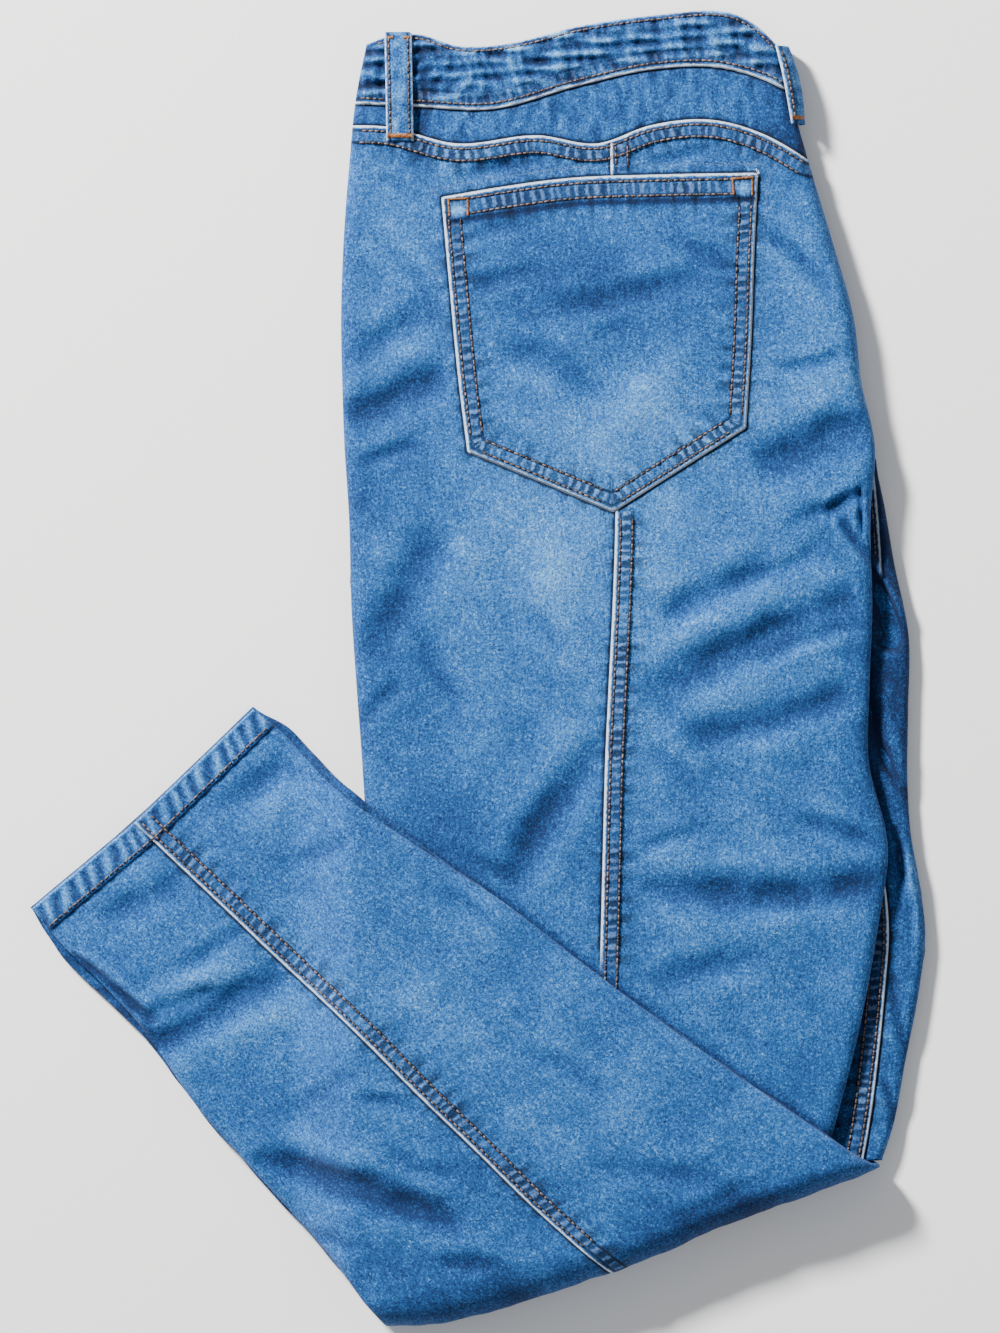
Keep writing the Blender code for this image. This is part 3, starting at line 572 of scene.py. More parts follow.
def shell(name, outer, paint, marks, wall=CLOTH):
    """A closed wall of cloth under an outer grid, and the flat width, length and area of its cut."""
    rows, width = outer.shape[:2]
    count = rows * width
    inner = outer - face_out(outer, passes=3) * wall
    index = np.arange(count).reshape(rows, width)
    border = np.concatenate([index[0], index[1:, -1], index[-1, -2::-1], index[-2:0:-1, 0]])
    ahead = np.roll(border, -1)
    edge = np.stack([border, ahead, ahead + count, border + count], axis=1)
    faces = np.concatenate([grid_faces(rows, width), grid_faces(rows, width, count, True), edge])
    across, down = cloth_lengths(outer)
    uv = np.stack([across, down], axis=-1).reshape(-1, 2)
    both = {}
    for mark, value in marks.items():
        value = value.reshape(count, -1).squeeze()
        both[mark] = np.concatenate([value, value])
    points = np.concatenate([outer.reshape(-1, 3), inner.reshape(-1, 3)])
    piece = add_mesh(name, points, faces, paint, np.concatenate([uv, uv]), both)
    cell = np.linalg.norm(np.cross(np.diff(outer, axis=0)[:, 1:], np.diff(outer, axis=1)[1:]), axis=2)
    cut = (across[:, -1].max() * MM, down[-1].max() * MM, cell.sum() * MM * MM)
    print(name, "triangles", 2 * len(faces), "cut", np.round(cut, 4))
    return piece, cut


# %% [markdown]
# ## Washed denim
# Denim is woven from blue warp over white weft. Washing rubs the blue off the high spots, so up close the
# cloth is a curly speckle of pale and deep blue, with faint streaks along the warp. Seams show it most:
# the lapped edge wears nearly white, and between two stitch rows the puckers make a ladder of pale and
# dark squares. The nodes build it from noise at each of those sizes, and read each piece's own distance
# to its seams.

# %% Nodes for cloth


def srgb(red, green, blue):
    """Linear colour from the 0 to 255 numbers of a colour picker."""
    value = np.array([red, green, blue]) / 255
    return (*np.where(value > 0.04045, ((value + 0.055) / 1.055) ** 2.4, value / 12.92), 1.0)


class Value:
    """A number that the shader works out, so that + - * and abs on it add nodes of arithmetic."""

    def __init__(self, socket):
        self.socket = socket
        self.tree = socket.id_data

    def maths(self, operation, *others):
        """One step of arithmetic on this value and the others."""
        made = node(self.tree, "Math", dict(enumerate((self, *others))), operation=operation)
        return Value(made.outputs[0])

    def __add__(self, other):
        return self.maths("ADD", other)

    def __sub__(self, other):
        return self.maths("SUBTRACT", other)

    def __mul__(self, other):
        return self.maths("MULTIPLY", other)

    def __abs__(self):
        return self.maths("ABSOLUTE")


def node(tree, kind, inputs, **settings):
    """A shader node; each input is a number, or a value or another node's output to join to it."""
    made = tree.nodes.new("ShaderNode" + kind)
    for key, value in settings.items():
        setattr(made, key, value)
    for key, value in inputs.items():
        value = value.socket if isinstance(value, Value) else value
        if isinstance(value, bpy.types.NodeSocket):
            tree.links.new(value, made.inputs[key])
        else:
            made.inputs[key].default_value = value
    return made


def between(value, low, high, start=0.0, end=1.0):
    """A smooth change from start to end as value goes from low to high."""
    inputs = {"Value": value, "From Min": low, "From Max": high, "To Min": start, "To Max": end}
    made = node(value.tree, "MapRange", inputs, interpolation_type="SMOOTHSTEP")
    return Value(made.outputs["Result"])


def noise(tree, vector, scale, detail=2.0, rough=0.5, distortion=0.0):
    """Random value 0 to 1 in soft spots, 1 / scale metres apart."""
    inputs = {"Vector": vector, "Scale": scale, "Detail": detail, "Roughness": rough}
    inputs["Distortion"] = distortion
    return Value(node(tree, "TexNoise", inputs).outputs["Fac"])


def attribute(tree, name, output):
    """A named value kept at the piece's points."""
    made = node(tree, "Attribute", {}, attribute_name=name, attribute_type="GEOMETRY")
    return made.outputs[output]


FIBRE_SCALE = 900.0
CURL_SCALE = 430.0
SPOT_SCALE = 420.0
MOTTLE_SCALE = 85.0
CLOUD_SCALE = 17.0
STRAND_SCALE = 700.0
TWIST_SCALE = 1500.0
LADDER_PITCH = 4.7
LADDER_WANDER = 7.0
DARK_MIX_LIMIT = 0.92


def seam_wear_and_shade(tree, name, spots):
    """What a seam does to the cloth near it: how pale, how dark and how high.

    The worn edge is pale in its first millimetre. Between the two stitch rows a sine along the seam makes
    a ladder of dark gaps and pale squares, and a slower one makes the soft tucks past the outer row and
    outside the edge. Each stitch row lies in a dark groove, and a painted shadow lies as a thin dark line
    just outside the edge.
    """
    split = node(tree, "SeparateXYZ", {"Vector": attribute(tree, name, "Vector")})
    inside, along, strength = (Value(output) for output in split.outputs)
    pale = between(inside + (spots * 1.6 - 0.8), 0.1, 0.9, 0.95, 0.0) * between(inside, -0.7, -0.4)

    place = node(tree, "CombineXYZ", {"X": along, "Y": 3.0}).outputs[0]
    drift = noise(tree, place, 0.11, 1.0) * LADDER_WANDER
    turn = (inside * 0.1 + along + spots * 2.6 + drift) * (2 * np.pi / LADDER_PITCH)
    rung = turn.maths("SINE") * 0.5 + 0.5
    wide = (turn * 0.45 + 1.0).maths("SINE")
    slow = between(noise(tree, place, 0.045, 1.0), 0.3, 0.6, 0.35, 1.0)

    rows = between(inside, 2.4, 3.6) * between(inside, 6.6, 7.8, 1, 0)
    beyond = between(inside, 7.6, 8.6) * between(inside, 9, 20, 0.9, 0)
    outside = between(inside, -8, -1, 0, 0.7) * between(inside, -0.9, -0.5, 1, 0)
    feather = beyond + outside
    gaps = rows * slow * between(rung, 0.3, 0.95, 0.78, 0.0)
    tucks = feather * slow * between(wide, -0.95, 0.5, 0.75, 0.0)
    squares = rows * slow * between(rung, 0.6, 1.0, 0.0, 0.1)
    # Painted shadow: a thin dark line just outside each lapped edge.
    shade = between(inside, -2.4, -0.9) * between(inside, -0.5, -0.3, 1, 0)
    dark = gaps + tucks + shade
    for row in (STITCH_IN, STITCH_OUT):
        dark = dark + between(abs(inside - row), 0.3, 1.2, 0.8, 0.0)
    height = rung * (rows + feather) * slow * 0.8
    return [value * strength for value in (pale.maths("MAXIMUM", squares), dark, height)]


def denim(name, tones, pale_tone, dark_tone):
    """Washed denim: tones from the deepest to the palest, and the colours of worn and shaded seams."""
    paint, tree, shader = new_paint(name)
    place = node(tree, "TexCoord", {}).outputs["Object"]
    weave = node(tree, "UVMap", {}, uv_map="cloth").outputs["UV"]
    warp = node(tree, "Mapping", {"Vector": weave, "Scale": (1.0, 0.13, 1.0)}).outputs["Vector"]

    speckle = noise(tree, place, FIBRE_SCALE, 2.0, 0.6, 0.9)
    curl = between(abs(noise(tree, place, CURL_SCALE, 1.0, 0.5, 1.6) * 2.0 - 1.0), 0.0, 0.12, 1.0, 0.0)
    streak = noise(tree, warp, FIBRE_SCALE, 2.0, 0.6)
    mottle = noise(tree, place, MOTTLE_SCALE, 2.0, 0.55, 0.5)
    cloud = noise(tree, place, CLOUD_SCALE, 1.0, 0.5)

    value = speckle * 1.4 - 0.32 + curl * between(mottle, 0.3, 0.7, 0.6, 1.0) * 0.3
    value = value + (streak - 0.5) * 0.35 + (mottle - 0.5) * 0.1 + (cloud - 0.5) * 0.1
    value = value + Value(attribute(tree, "tone", "Fac"))
    ramp = node(tree, "ValToRGB", {"Fac": value})
    stops = ramp.color_ramp.elements
    stops[0].color, stops[1].color = srgb(*tones[0]), srgb(*tones[-1])
    for k, tone in enumerate(tones[1:-1], 1):
        stops.new(k / (len(tones) - 1)).color = srgb(*tone)

    spots = noise(tree, place, SPOT_SCALE, 2.0, 0.6)
    wear_and_shade = [seam_wear_and_shade(tree, seam, spots) for seam in ("lap_a", "lap_b")]
    pale, dark, height = (a.maths("MAXIMUM", b) for a, b in zip(*wear_and_shade))
    dark = dark.maths("MINIMUM", DARK_MIX_LIMIT)
    pale = pale * between(speckle, 0.25, 0.5, 0.6, 1.0)
    shaded = node(tree, "Mix", {0: dark, 6: ramp.outputs[0], 7: srgb(*dark_tone)}, data_type="RGBA")
    worn = node(tree, "Mix", {0: pale, 6: shaded.outputs[2], 7: srgb(*pale_tone)}, data_type="RGBA")
    tree.links.new(worn.outputs[2], shader.inputs["Base Color"])

    relief = speckle * 0.5 + curl * 0.25 + streak * 0.25 + height * 1.2
    bump = node(tree, "Bump", {"Height": relief, "Strength": 0.55, "Distance": 0.0006})
    tree.links.new(bump.outputs["Normal"], shader.inputs["Normal"])
    shader.inputs["Roughness"].default_value = 0.88
    shader.inputs["Specular IOR Level"].default_value = 0.18
    shader.inputs["Sheen Weight"].default_value = 0.05
    shader.inputs["Sheen Roughness"].default_value = 0.5
    return paint


WASHED_TONES = ((8, 32, 70), (18, 58, 110), (34, 87, 148), (66, 124, 184), (118, 170, 214))
# The deeper tones are both the darker cloth of the waistband and loops and a shaded copy of the denim:
# painted shade on the right thigh's strip, its front and the hidden layers.
DEEP_AND_SHADED_TONES = ((6, 26, 60), (13, 48, 94), (26, 74, 132), (54, 110, 170), (108, 160, 206))
WORN_WHITE = (196, 213, 232)
SEAM_SHADE = (5, 16, 36)
washed_denim = denim("washed_denim", WASHED_TONES, WORN_WHITE, SEAM_SHADE)
deep_and_shaded_denim = denim("deep_and_shaded_denim", DEEP_AND_SHADED_TONES, WORN_WHITE, SEAM_SHADE)
print("denim nodes", len(washed_denim.node_tree.nodes))

# %% [markdown]
# ## Thread
# Jeans are sewn with thick thread, twisted from a dark and a pale strand, about three stitches to a
# centimetre. Each visible stitch is a short fat capsule that dips into the cloth at both ends. They are
# made all at once: one capsule of six sides and four rings, placed at every stitch by numpy. A bar tack
# is thinner thread laid side by side, across a short line, in rust orange.

# %% Thread, stitch rows and bar tacks
STITCH_PITCH = 3.1
STITCH_LENGTH = 2.7
ROW_MARGIN = 1.0
THREAD_RADIUS = 0.48
BAR_PITCH = 0.5
BAR_RADIUS = 0.3
RING_AT = np.array([0.0, 0.14, 0.86, 1.0])
RING_SIZE = np.array([0.45, 1.0, 1.0, 0.45])
RING_RISE = np.array([-0.2, 0.2, 0.2, -0.2])
THREAD_SIDES = 6


def thread(name, dark, light):
    """Sewing thread: two twisted strands, so its tone changes from stitch to stitch."""
    paint, tree, shader = new_paint(name)
    place = node(tree, "TexCoord", {}).outputs["Object"]
    ramp = node(tree, "ValToRGB", {"Fac": noise(tree, place, STRAND_SCALE, 2.0, 0.7)})
    for stop, position, tone in zip(ramp.color_ramp.elements, (0.42, 0.6), (dark, light)):
        stop.position = position
        stop.color = srgb(*tone)
    tree.links.new(ramp.outputs[0], shader.inputs["Base Color"])
    twist = noise(tree, place, TWIST_SCALE)
    bump = node(tree, "Bump", {"Height": twist, "Strength": 0.4, "Distance": 0.0003})
    tree.links.new(bump.outputs["Normal"], shader.inputs["Normal"])
    shader.inputs["Roughness"].default_value = 0.6
    return paint


rust_thread = thread("rust_thread", (10, 8, 12), (122, 100, 92))
bar_thread = thread("bar_thread", (92, 48, 18), (166, 108, 50))


def stitch_row(line):
    """Both ends of each stitch along a line of points, one stitch every pitch."""
    run = np.linalg.norm(np.diff(line, axis=0), axis=1)
    reached = np.concatenate([[0.0], np.cumsum(run)])
    first = np.arange(ROW_MARGIN, reached[-1] - STITCH_LENGTH - ROW_MARGIN / 2, STITCH_PITCH)
    ends = []
    for place in (first, first + STITCH_LENGTH):
        ends.append(np.stack([np.interp(place, reached, line[:, k]) for k in range(3)], axis=1))
    return np.stack(ends, axis=1)


def bar_tack(surface, lift, x0, y0, x1, y1, width):
    """Stitches side by side across the line from x0, y0 to x1, y1, lifted off a surface."""
    start, run = np.array([x0, y0]), np.array([x1 - x0, y1 - y0])
    count = int(np.hypot(*run) / BAR_PITCH) + 1
    middle = start + run * np.linspace(0, 1, count)[:, None]
    aside = np.array([-run[1], run[0]]) / np.hypot(*run) * width / 2
    places = middle - aside, middle + aside
    sides = [np.column_stack([place, surface(*place.T) + lift]) for place in places]
    return np.stack(sides, axis=1)


def sew(name, rows, paint, radius=THREAD_RADIUS):
    """One mesh of thread: rings of six points along each stitch, thin and sunk at its two ends."""
    ends = np.concatenate(rows)
    count = len(ends)
    run = ends[:, 1] - ends[:, 0]
    run /= np.linalg.norm(run, axis=1, keepdims=True) + 1e-9
    aside = np.cross(run, [0.0, 0.0, 1.0])
    aside /= np.linalg.norm(aside, axis=1, keepdims=True) + 1e-9
    up = np.cross(aside, run)
    turn = 2 * np.pi * np.arange(THREAD_SIDES) / THREAD_SIDES
    middle = ends[:, :1] + (ends[:, 1:] - ends[:, :1]) * RING_AT[None, :, None]
    middle = middle + up[:, None] * RING_RISE[None, :, None]
    round_it = aside[:, None] * np.cos(turn)[None, :, None] + up[:, None] * np.sin(turn)[None, :, None]
    points = middle[:, :, None] + round_it[:, None] * (RING_SIZE * radius)[None, :, None, None]
    rings = len(RING_AT)
    index = np.arange(rings * THREAD_SIDES).reshape(rings, THREAD_SIDES)
    turned = np.roll(index, -1, axis=1)
    quads = np.stack([index[:-1], index[1:], turned[1:], turned[:-1]], axis=-1).reshape(-1, 4)
    halves = ([0, 1, 2, 3], [3, 4, 5, 0])
    caps = [index[0, half] for half in halves] + [index[-1, half[::-1]] for half in halves]
    one = np.concatenate([quads, caps])
    offset = (np.arange(count) * rings * THREAD_SIDES)[:, None, None]
    piece = add_mesh(name, points.reshape(-1, 3), (one[None] + offset).reshape(-1, 4), paint)
    print(name, "stitches", count)
    return piece


print("thread", THREAD_RADIUS * 2, "mm thick")

# %% [markdown]
# ## The left leg
# The back of the left leg lies on top of the stack. Its height is one function of where a point is: the
# stack's own height, the creases, and a round edge where the cloth turns under. All the pieces of the
# leg, the pocket and the loops read that one function, so each lies on the next without a gap.

# %% Height of the left leg
CROTCH = (104, 122)
EDGE_SHARE = 0.5
OUTSEAM_SIDE = 60.0


def covered(x, y):
    """0 where the turned-up part lies on the leg, 1 above it."""
    return ease(y - THIGH_END.at("y", x), 14, 34)


def leg_relief(x, y):
    """Creases and unevenness of the leg, none where it is covered."""
    return (creases(THIGH_FOLDS + THIGH_CREASES, x, y) + rough(x, y, 11)) * covered(x, y)


def crotch_open(y):
    """0 above the crotch, where the edge is one fold, and 1 below it, where the right thigh shows."""
    return 1 - ease(y, *CROTCH)


def leg_height(x, y):
    """Stack height and relief, times the share kept at the edge and a quarter circle above that share."""
    top = THIGH_HEIGHT.at("top", y) + leg_relief(x, y)
    lift = rim_lift(np.minimum(x - THIGH.at("left", y), THIGH.at("right", y) - x), ROLL)
    right_share = EDGE_SHARE + (PAIR_SHARE - EDGE_SHARE) * crotch_open(y)
    share = np.where(x < OUTSEAM_SIDE, PAIR_SHARE, right_share)
    return top * (share + (1 - share) * lift)


FIRST_GUESS = 50.0
MEETING_STEPS = 8


def leg_places(upper, lower, rows, rule, start="left", end="right"):
    """Where rows between two lines across the leg meet columns between two lines down it."""
    depth, share = (part[:, None] for part in rows)
    a, b = rule

    def row_y(x):
        """A row's y where it passes x, a set depth plus a share of the way between the lines."""
        top = upper.at("y", x)
        return top - depth - share * (top - lower.at("y", x))

    y = row_y(np.full((len(depth), len(a)), FIRST_GUESS))
    for _ in range(MEETING_STEPS):
        first, last = THIGH.at(start, y), THIGH.at(end, y)
        x = first + a + b * (last - first)
        y = row_y(x)
    return x, y


def laid(surface, x, y):
    """A grid of points at the height of a surface given by x and y."""
    return np.dstack([x, y, surface(x, y)])


RELIEF_TONE = 0.11
RELIEF_LIMITS = (-2.6, 1.0)


def tone_of(relief, x, y, seed=5):
    """How much paler or deeper the cloth is: paler on ridges and deeper in troughs, partly worn dye and
    partly painted light and shade, and slow random patches.
    """
    return RELIEF_TONE * np.clip(relief, *RELIEF_LIMITS) + 0.025 * uneven(x, y, 60.0, seed)


# Plus amounts are faded, paler dye. Minus amounts make the cloth deeper; the rows right of the side loop
# and beside the turned-up leg's edge are painted shadows.
FADES_AND_SHADE = (
    (32, 52, 72, 62, 0.17),
    (95, 70, 50, 40, 0.1),
    (70, 125, 60, 24, 0.14),
    (60, 190, 75, 26, -0.16),
    (162, 172, 28, 50, 0.15),
    (-40, 40, 24, 110, -0.12),
    (10, -85, 45, 20, -0.12),
    (190, -60, 16, 90, -0.1),
    (-62, 120, 12, 160, -0.1),
    (-28, 292, 5, 34, -0.42),
    (-56, 298, 8, 16, -0.26),
    (-40, 205, 26, 46, 0.12),
)


def patches(table, x, y):
    """Soft patches of faded dye and of painted shade: a row for each centre, half widths and amount."""
    total = np.zeros(np.shape(x))
    for cx, cy, wide, tall, amount in table:
        total += amount * bell(x, cx, wide) * bell(y, cy, tall)
    return total


def mark(distance, along, strength=1.0):
    """A seam's numbers at each point: mm inside its edge, mm along it, and how strongly it shows."""
    strength = np.broadcast_to(strength, np.shape(distance))
    return np.stack([distance, along, strength], axis=-1)


print("leg height at the knee", round(float(leg_height(np.array(60.0), np.array(0.0))), 1))

# %% [markdown]
# ## Waistband and yoke
# The waistband is a doubled strip, sewn over the yoke and stitched along both edges. It shrinks less than
# its thread, so it puckers into short upright ripples. The yoke is the shaped piece under it, lapped by
# the waistband above and by the back panels below. Both are rows between two drawn lines.

# %% Waistband and yoke
STITCH_LIFT = 0.12
EDGE_MARGIN = 0.4
FINE_IN = np.array([0.0, 0.3, 0.7, 1.2, 1.8, 2.4, 3.2, 4.2])
UNDER_IN = np.array([-0.2, 0.2, 0.7, 1.3, 2.0, 2.8, 3.8])
WAIST_DROP = 2.4
WAIST_ROUND = 3.0
WAIST_ROW = 2.4
RIPPLE_LENGTH = 7.4
WHOLE_LEG = columns(ROLL_IN, 130, ROLL_IN[::-1])


def waistband_crumples(x, y, along):
    """The band's ripples, and the uneven crumples between them."""
    ripple = np.sin(along * 2 * np.pi / RIPPLE_LENGTH + 2.2 * uneven(x, y, 26.0, 21))
    return ripple, uneven(x * 0.5, y * 1.5, 10.0, 25)


def waistband_height(x, y):
    """The leg's height and the band's rise: round at both edges, with upright ripples between."""
    above, along = nearest(WAIST_LINE, x, y)
    below, _ = nearest(WAIST_EDGE, x, y)
    level = WAISTBAND_RISE * (0.3 + 0.7 * rim_lift(above + LAP, 1.2))
    level -= WAIST_DROP * (1 - rim_lift(below + 0.1, WAIST_ROUND))
    ripple, crumple = waistband_crumples(x, y, along)
    level += (0.4 * ripple + crumple) * ease(above, 1.5, 5) * ease(below, 1.5, 5)
    for inside in (above, below):
        level -= GROOVE * bell(inside, WAIST_ROW, 0.6)
    return leg_height(x, y) + level


def waistband():
    """Rows from the upper edge to the seam, and half a millimetre over the yoke."""
    rows = columns(FINE_IN, 26, np.append(FINE_IN[:0:-1], -LAP))
    x, y = leg_places(WAIST_TOP, WAIST_SEAM, rows, WHOLE_LEG)
    above, along = nearest(WAIST_LINE, x, y)
    below, upper = nearest(WAIST_EDGE, x, y)
    ripple, crumple = waistband_crumples(x, y, along)
    # Paler on the ripples' and crumples' crests and deeper in their troughs: painted light and shade.
    marks = {
        "tone": patches(FADES_AND_SHADE, x, y) + 0.04 + 0.12 * ripple * ease(above, 1, 4) + 0.28 * crumple,
        "lap_a": mark(above, along, 0.95 - 0.45 * ease(above, 1.5, 3)),
        "lap_b": mark(below, upper, 0.6 - 0.3 * ease(below, 1.5, 3)),
    }
    return shell("waistband_cloth", laid(waistband_height, x, y), deep_and_shaded_denim, marks)


def yoke_height(x, y):
    """The leg's height, dipping under the waistband above and the panels below."""
    level = lapped(*nearest(WAIST_LINE, x, y)) + lapped(*nearest(YOKE_LINE, x, y))
    return leg_height(x, y) + level + 0.2 * uneven(x, y * 0.4, 6.0, 23)


def yoke():
    """Rows from under the waistband's edge to under the panels' edge."""
    x, y = leg_places(WAIST_SEAM, YOKE_SEAM, columns(UNDER_IN, 10, UNDER_IN[::-1]), WHOLE_LEG)
    tone = patches(FADES_AND_SHADE, x, y) - 0.06 + 0.1 * uneven(x, y * 0.4, 7.0, 24)
    marks = {
        "tone": tone - 0.25 * ease(x, 128, 158),
        "lap_a": mark(*nearest(WAIST_LINE, x, y)),
        "lap_b": mark(*nearest(YOKE_LINE, x, y)),
    }
    return shell("yoke_cloth", laid(yoke_height, x, y), washed_denim, marks)


def on(surface, path, inside=0.0):
    """A path moved inside by a distance and laid on a surface given by x and y."""
    step = np.gradient(path, axis=0)
    step /= np.linalg.norm(step, axis=1, keepdims=True)
    place = path + inside * np.column_stack([-step[:, 1], step[:, 0]])
    return np.column_stack([place, surface(*place.T) + STITCH_LIFT])


def within_leg(line):
    """The part of a line that lies between the leg's two edges."""
    x, y = line[:, 0], line[:, 1]
    return line[(x > THIGH.at("left", y) + EDGE_MARGIN) & (x < THIGH.at("right", y) - EDGE_MARGIN)]


waistband_piece, waistband_cut = waistband()
yoke_piece, yoke_cut = yoke()
band_rows = [within_leg(on(waistband_height, path, WAIST_ROW)) for path in (WAIST_LINE, WAIST_EDGE)]
waistband_thread = sew("waistband_stitches", [stitch_row(line) for line in band_rows], rust_thread)

# %% [markdown]
# ## Patch pocket
# The pocket is a five-cornered patch: four sides, a point, and a thick turned hem across the top. Its
# place is blended from its four curved borders, and its height is the leg's own, lifted clear. It is
# sewn down with two rows, so its edge is tight and its middle is a little full.

# %% Outline and height of the pocket
POCKET_TOP = Table("x y", (-18, 235.2), (10, 240), (45, 244.6), (90, 246.4), (139.3, 247.3))
POCKET_LEFT = Table("y x", (108.6, -5.0), (142, -9.2), (194, -14.2), (235.2, -18.0))
POCKET_RIGHT = Table("y x", (120.4, 133.2), (164, 135.8), (209, 137.4), (247.3, 139.3))
LEFT_ENDS, RIGHT_ENDS = (235.2, 108.6), (247.3, 120.4)
POCKET_TIP = np.array([67.2, 78.6])
POCKET_SIZE = (157.0, 127.0)
POCKET_FULL = 0.5
POCKET_HEM = 12.0
POCKET_HEM_RISE = 0.7
POCKET_HEM_ROWS = (2.6, 10.0)
POCKET_PUCKER = 0.34
POCKET_PUCKER_LENGTH = 8.9
HEM_PUCKER_LENGTH = 9.8
CORNER_SQUARES = ((-10.3, 229.0), (132.3, 239.7))
CORNER_SIZE = 4.2
POCKET_IN = np.array(
    [0, 0.35, 0.75, 1.2, 1.7, 2.2, 2.8, 3.8, 5, 6.2, 7.2, 7.8, 8.4, 9.2, 10.2, 11.2, 11.8, 12.4]
)

pocket_left = path_of(POCKET_LEFT, np.linspace(*LEFT_ENDS, 26), "x", key_first=False)
pocket_right = path_of(POCKET_RIGHT, np.linspace(*RIGHT_ENDS[::-1], 26), "x", key_first=False)
pocket_hem = path_of(POCKET_TOP, np.linspace(139.3, -18, 32), "y")
share = np.linspace(0, 1, 17)[:, None]
pocket_lower_left = pocket_left[-1] + (POCKET_TIP - pocket_left[-1]) * share
pocket_lower_right = POCKET_TIP + (pocket_right[0] - POCKET_TIP) * share
POCKET_SIDES = (pocket_left, pocket_lower_left, pocket_lower_right, pocket_right)
pocket_outline = np.concatenate([side[:-1] for side in POCKET_SIDES] + [pocket_right[-1:]])


def pocket_height(x, y):
    """The leg's height, a gap and the cloth; full middle, tight edges, raised hem, its shadow step."""
    inside, along = nearest(pocket_outline, x, y)
    below, across = nearest(pocket_hem, x, y)
    edge = np.minimum(inside, below)
    level = LIE_GAP + CLOTH - 0.45 * (1 - rim_lift(edge, 1.2))
    level = level + POCKET_FULL * ease(edge, 6, 34) + creases(POCKET_CREASES, x, y)
    level += POCKET_HEM_RISE * (1 - ease(below, POCKET_HEM - 0.6, POCKET_HEM + 0.5))
    turn = along * 2 * np.pi / POCKET_PUCKER_LENGTH + 1.4 * np.sin(along / 19.0)
    level += POCKET_PUCKER * np.sin(turn) * ease(inside, 1.5, 6) * (1 - ease(inside, 9, 18))
    hem_turn = across * 2 * np.pi / HEM_PUCKER_LENGTH
    level += 0.14 * np.sin(hem_turn) * ease(below, 1, 4) * (1 - ease(below, 9, 13))
    for row in (STITCH_IN, STITCH_OUT):
        level -= GROOVE * bell(inside, row, 0.55)
    for row in POCKET_HEM_ROWS:
        level -= GROOVE * bell(below, row, 0.6)
    return leg_height(x, y) + level


def pocket():
    """A patch blended from four borders: left and right sides, hem above, two lower edges as one below."""
    shares = []
    for size, count in zip(POCKET_SIZE, (76, 62)):
        a, b = columns(POCKET_IN, count, POCKET_IN[::-1])
        shares.append((a + b * size) / size)
    across, down = shares
    left, right = (
        path_of(table, ends[0] + (ends[1] - ends[0]) * down, "x", key_first=False)
        for table, ends in ((POCKET_LEFT, LEFT_ENDS), (POCKET_RIGHT, RIGHT_ENDS))
    )
    top_x = left[0, 0] + (right[0, 0] - left[0, 0]) * across
    top = np.column_stack([top_x, POCKET_TOP.at("y", top_x)])
    lower = np.array([left[-1], POCKET_TIP, right[-1]])
    bottom = np.column_stack([np.interp(across, [0, 0.5, 1], lower[:, k]) for k in (0, 1)])
    a, b = across[None, :, None], down[:, None, None]
    place = (1 - b) * top + b * bottom + (1 - a) * left[:, None] + a * right[:, None]
    place -= (1 - b) * ((1 - a) * left[0] + a * right[0]) + b * ((1 - a) * left[-1] + a * right[-1])
    x, y = place[..., 0], place[..., 1]
    inside, along = nearest(pocket_outline, x, y)
    below, run = nearest(pocket_hem, x, y)
    relief = creases(POCKET_CREASES, x, y) + leg_relief(x, y)
    squares = sum(np.exp(-((np.hypot(x - cx, y - cy) / CORNER_SIZE) ** 4)) for cx, cy in CORNER_SQUARES)
    # A painted shadow line under the raised hem band.
    hem_shade = bell(below, POCKET_HEM + 1, 1.5)
    marks = {
        "tone": tone_of(relief, x, y) + patches(FADES_AND_SHADE, x, y) + 0.26 * squares - 0.6 * hem_shade,
        "lap_a": mark(inside, along, 1 - squares),
        "lap_b": mark(below * STITCH_OUT / POCKET_HEM_ROWS[1], run, 1 - squares),
    }
    return shell("pocket_cloth", laid(pocket_height, x, y), washed_denim, marks)


def trimmed(line, row):
    """The part of a stitch line no nearer than its row to the pocket's other borders."""
    x, y = line[:, 0], line[:, 1]
    below_hem = nearest(pocket_hem, x, y)[0] > POCKET_HEM_ROWS[1]
    return line[below_hem & (nearest(pocket_outline, x, y)[0] > row - 0.1)]


pocket_piece, pocket_cut = pocket()
pocket_rows = [
    stitch_row(trimmed(on(pocket_height, side, row), row))
    for side in POCKET_SIDES
    for row in (STITCH_IN, STITCH_OUT)
]
pocket_rows += [stitch_row(on(pocket_height, pocket_hem, row)[2:-2]) for row in POCKET_HEM_ROWS]
pocket_thread = sew("pocket_stitches", pocket_rows, rust_thread)

# %% [markdown]
# ## Back panels
# Two panels make the back of the leg. The inner one is lapped over the outer one down the middle, and
# both are lapped over the yoke. They run on under the turned-up part. Creases that cross the seam cross
# both panels, because both read the same height.

# %% Back panels of the left leg
PANEL_ROWS = 300
OUTER_COLUMNS = columns(ROLL_IN, 72, SEAM_OUT)
INNER_COLUMNS = columns(SEAM_IN, 66, ROLL_IN[::-1])
UNDER_POCKET = ((76, 82), (246, 249))
CALF_EDGE = np.column_stack([CALF.at(name, np.arange(0, 301, 6)) for name in ("right_x", "right_y")])


def seam_shows(x, y):
    """1 where the back seam lies open, 0 under the pocket and under the turned-up part."""
    low, high = UNDER_POCKET
    return (1 - ease(y, *low) * (1 - ease(y, *high))) * covered(x, y)


def panel_height(x, y):
    """The leg's height with the back seam's lap and the yoke seam's lap, whichever is higher."""
    down = lapped(*nearest(BACK_SEAM, x, y)) * seam_shows(x, y)
    across = lapped(*nearest(YOKE_LINE, x, y))
    both = np.where((down > 0) & (across > 0), np.maximum(down, across), down + across)
    return leg_height(x, y) + both


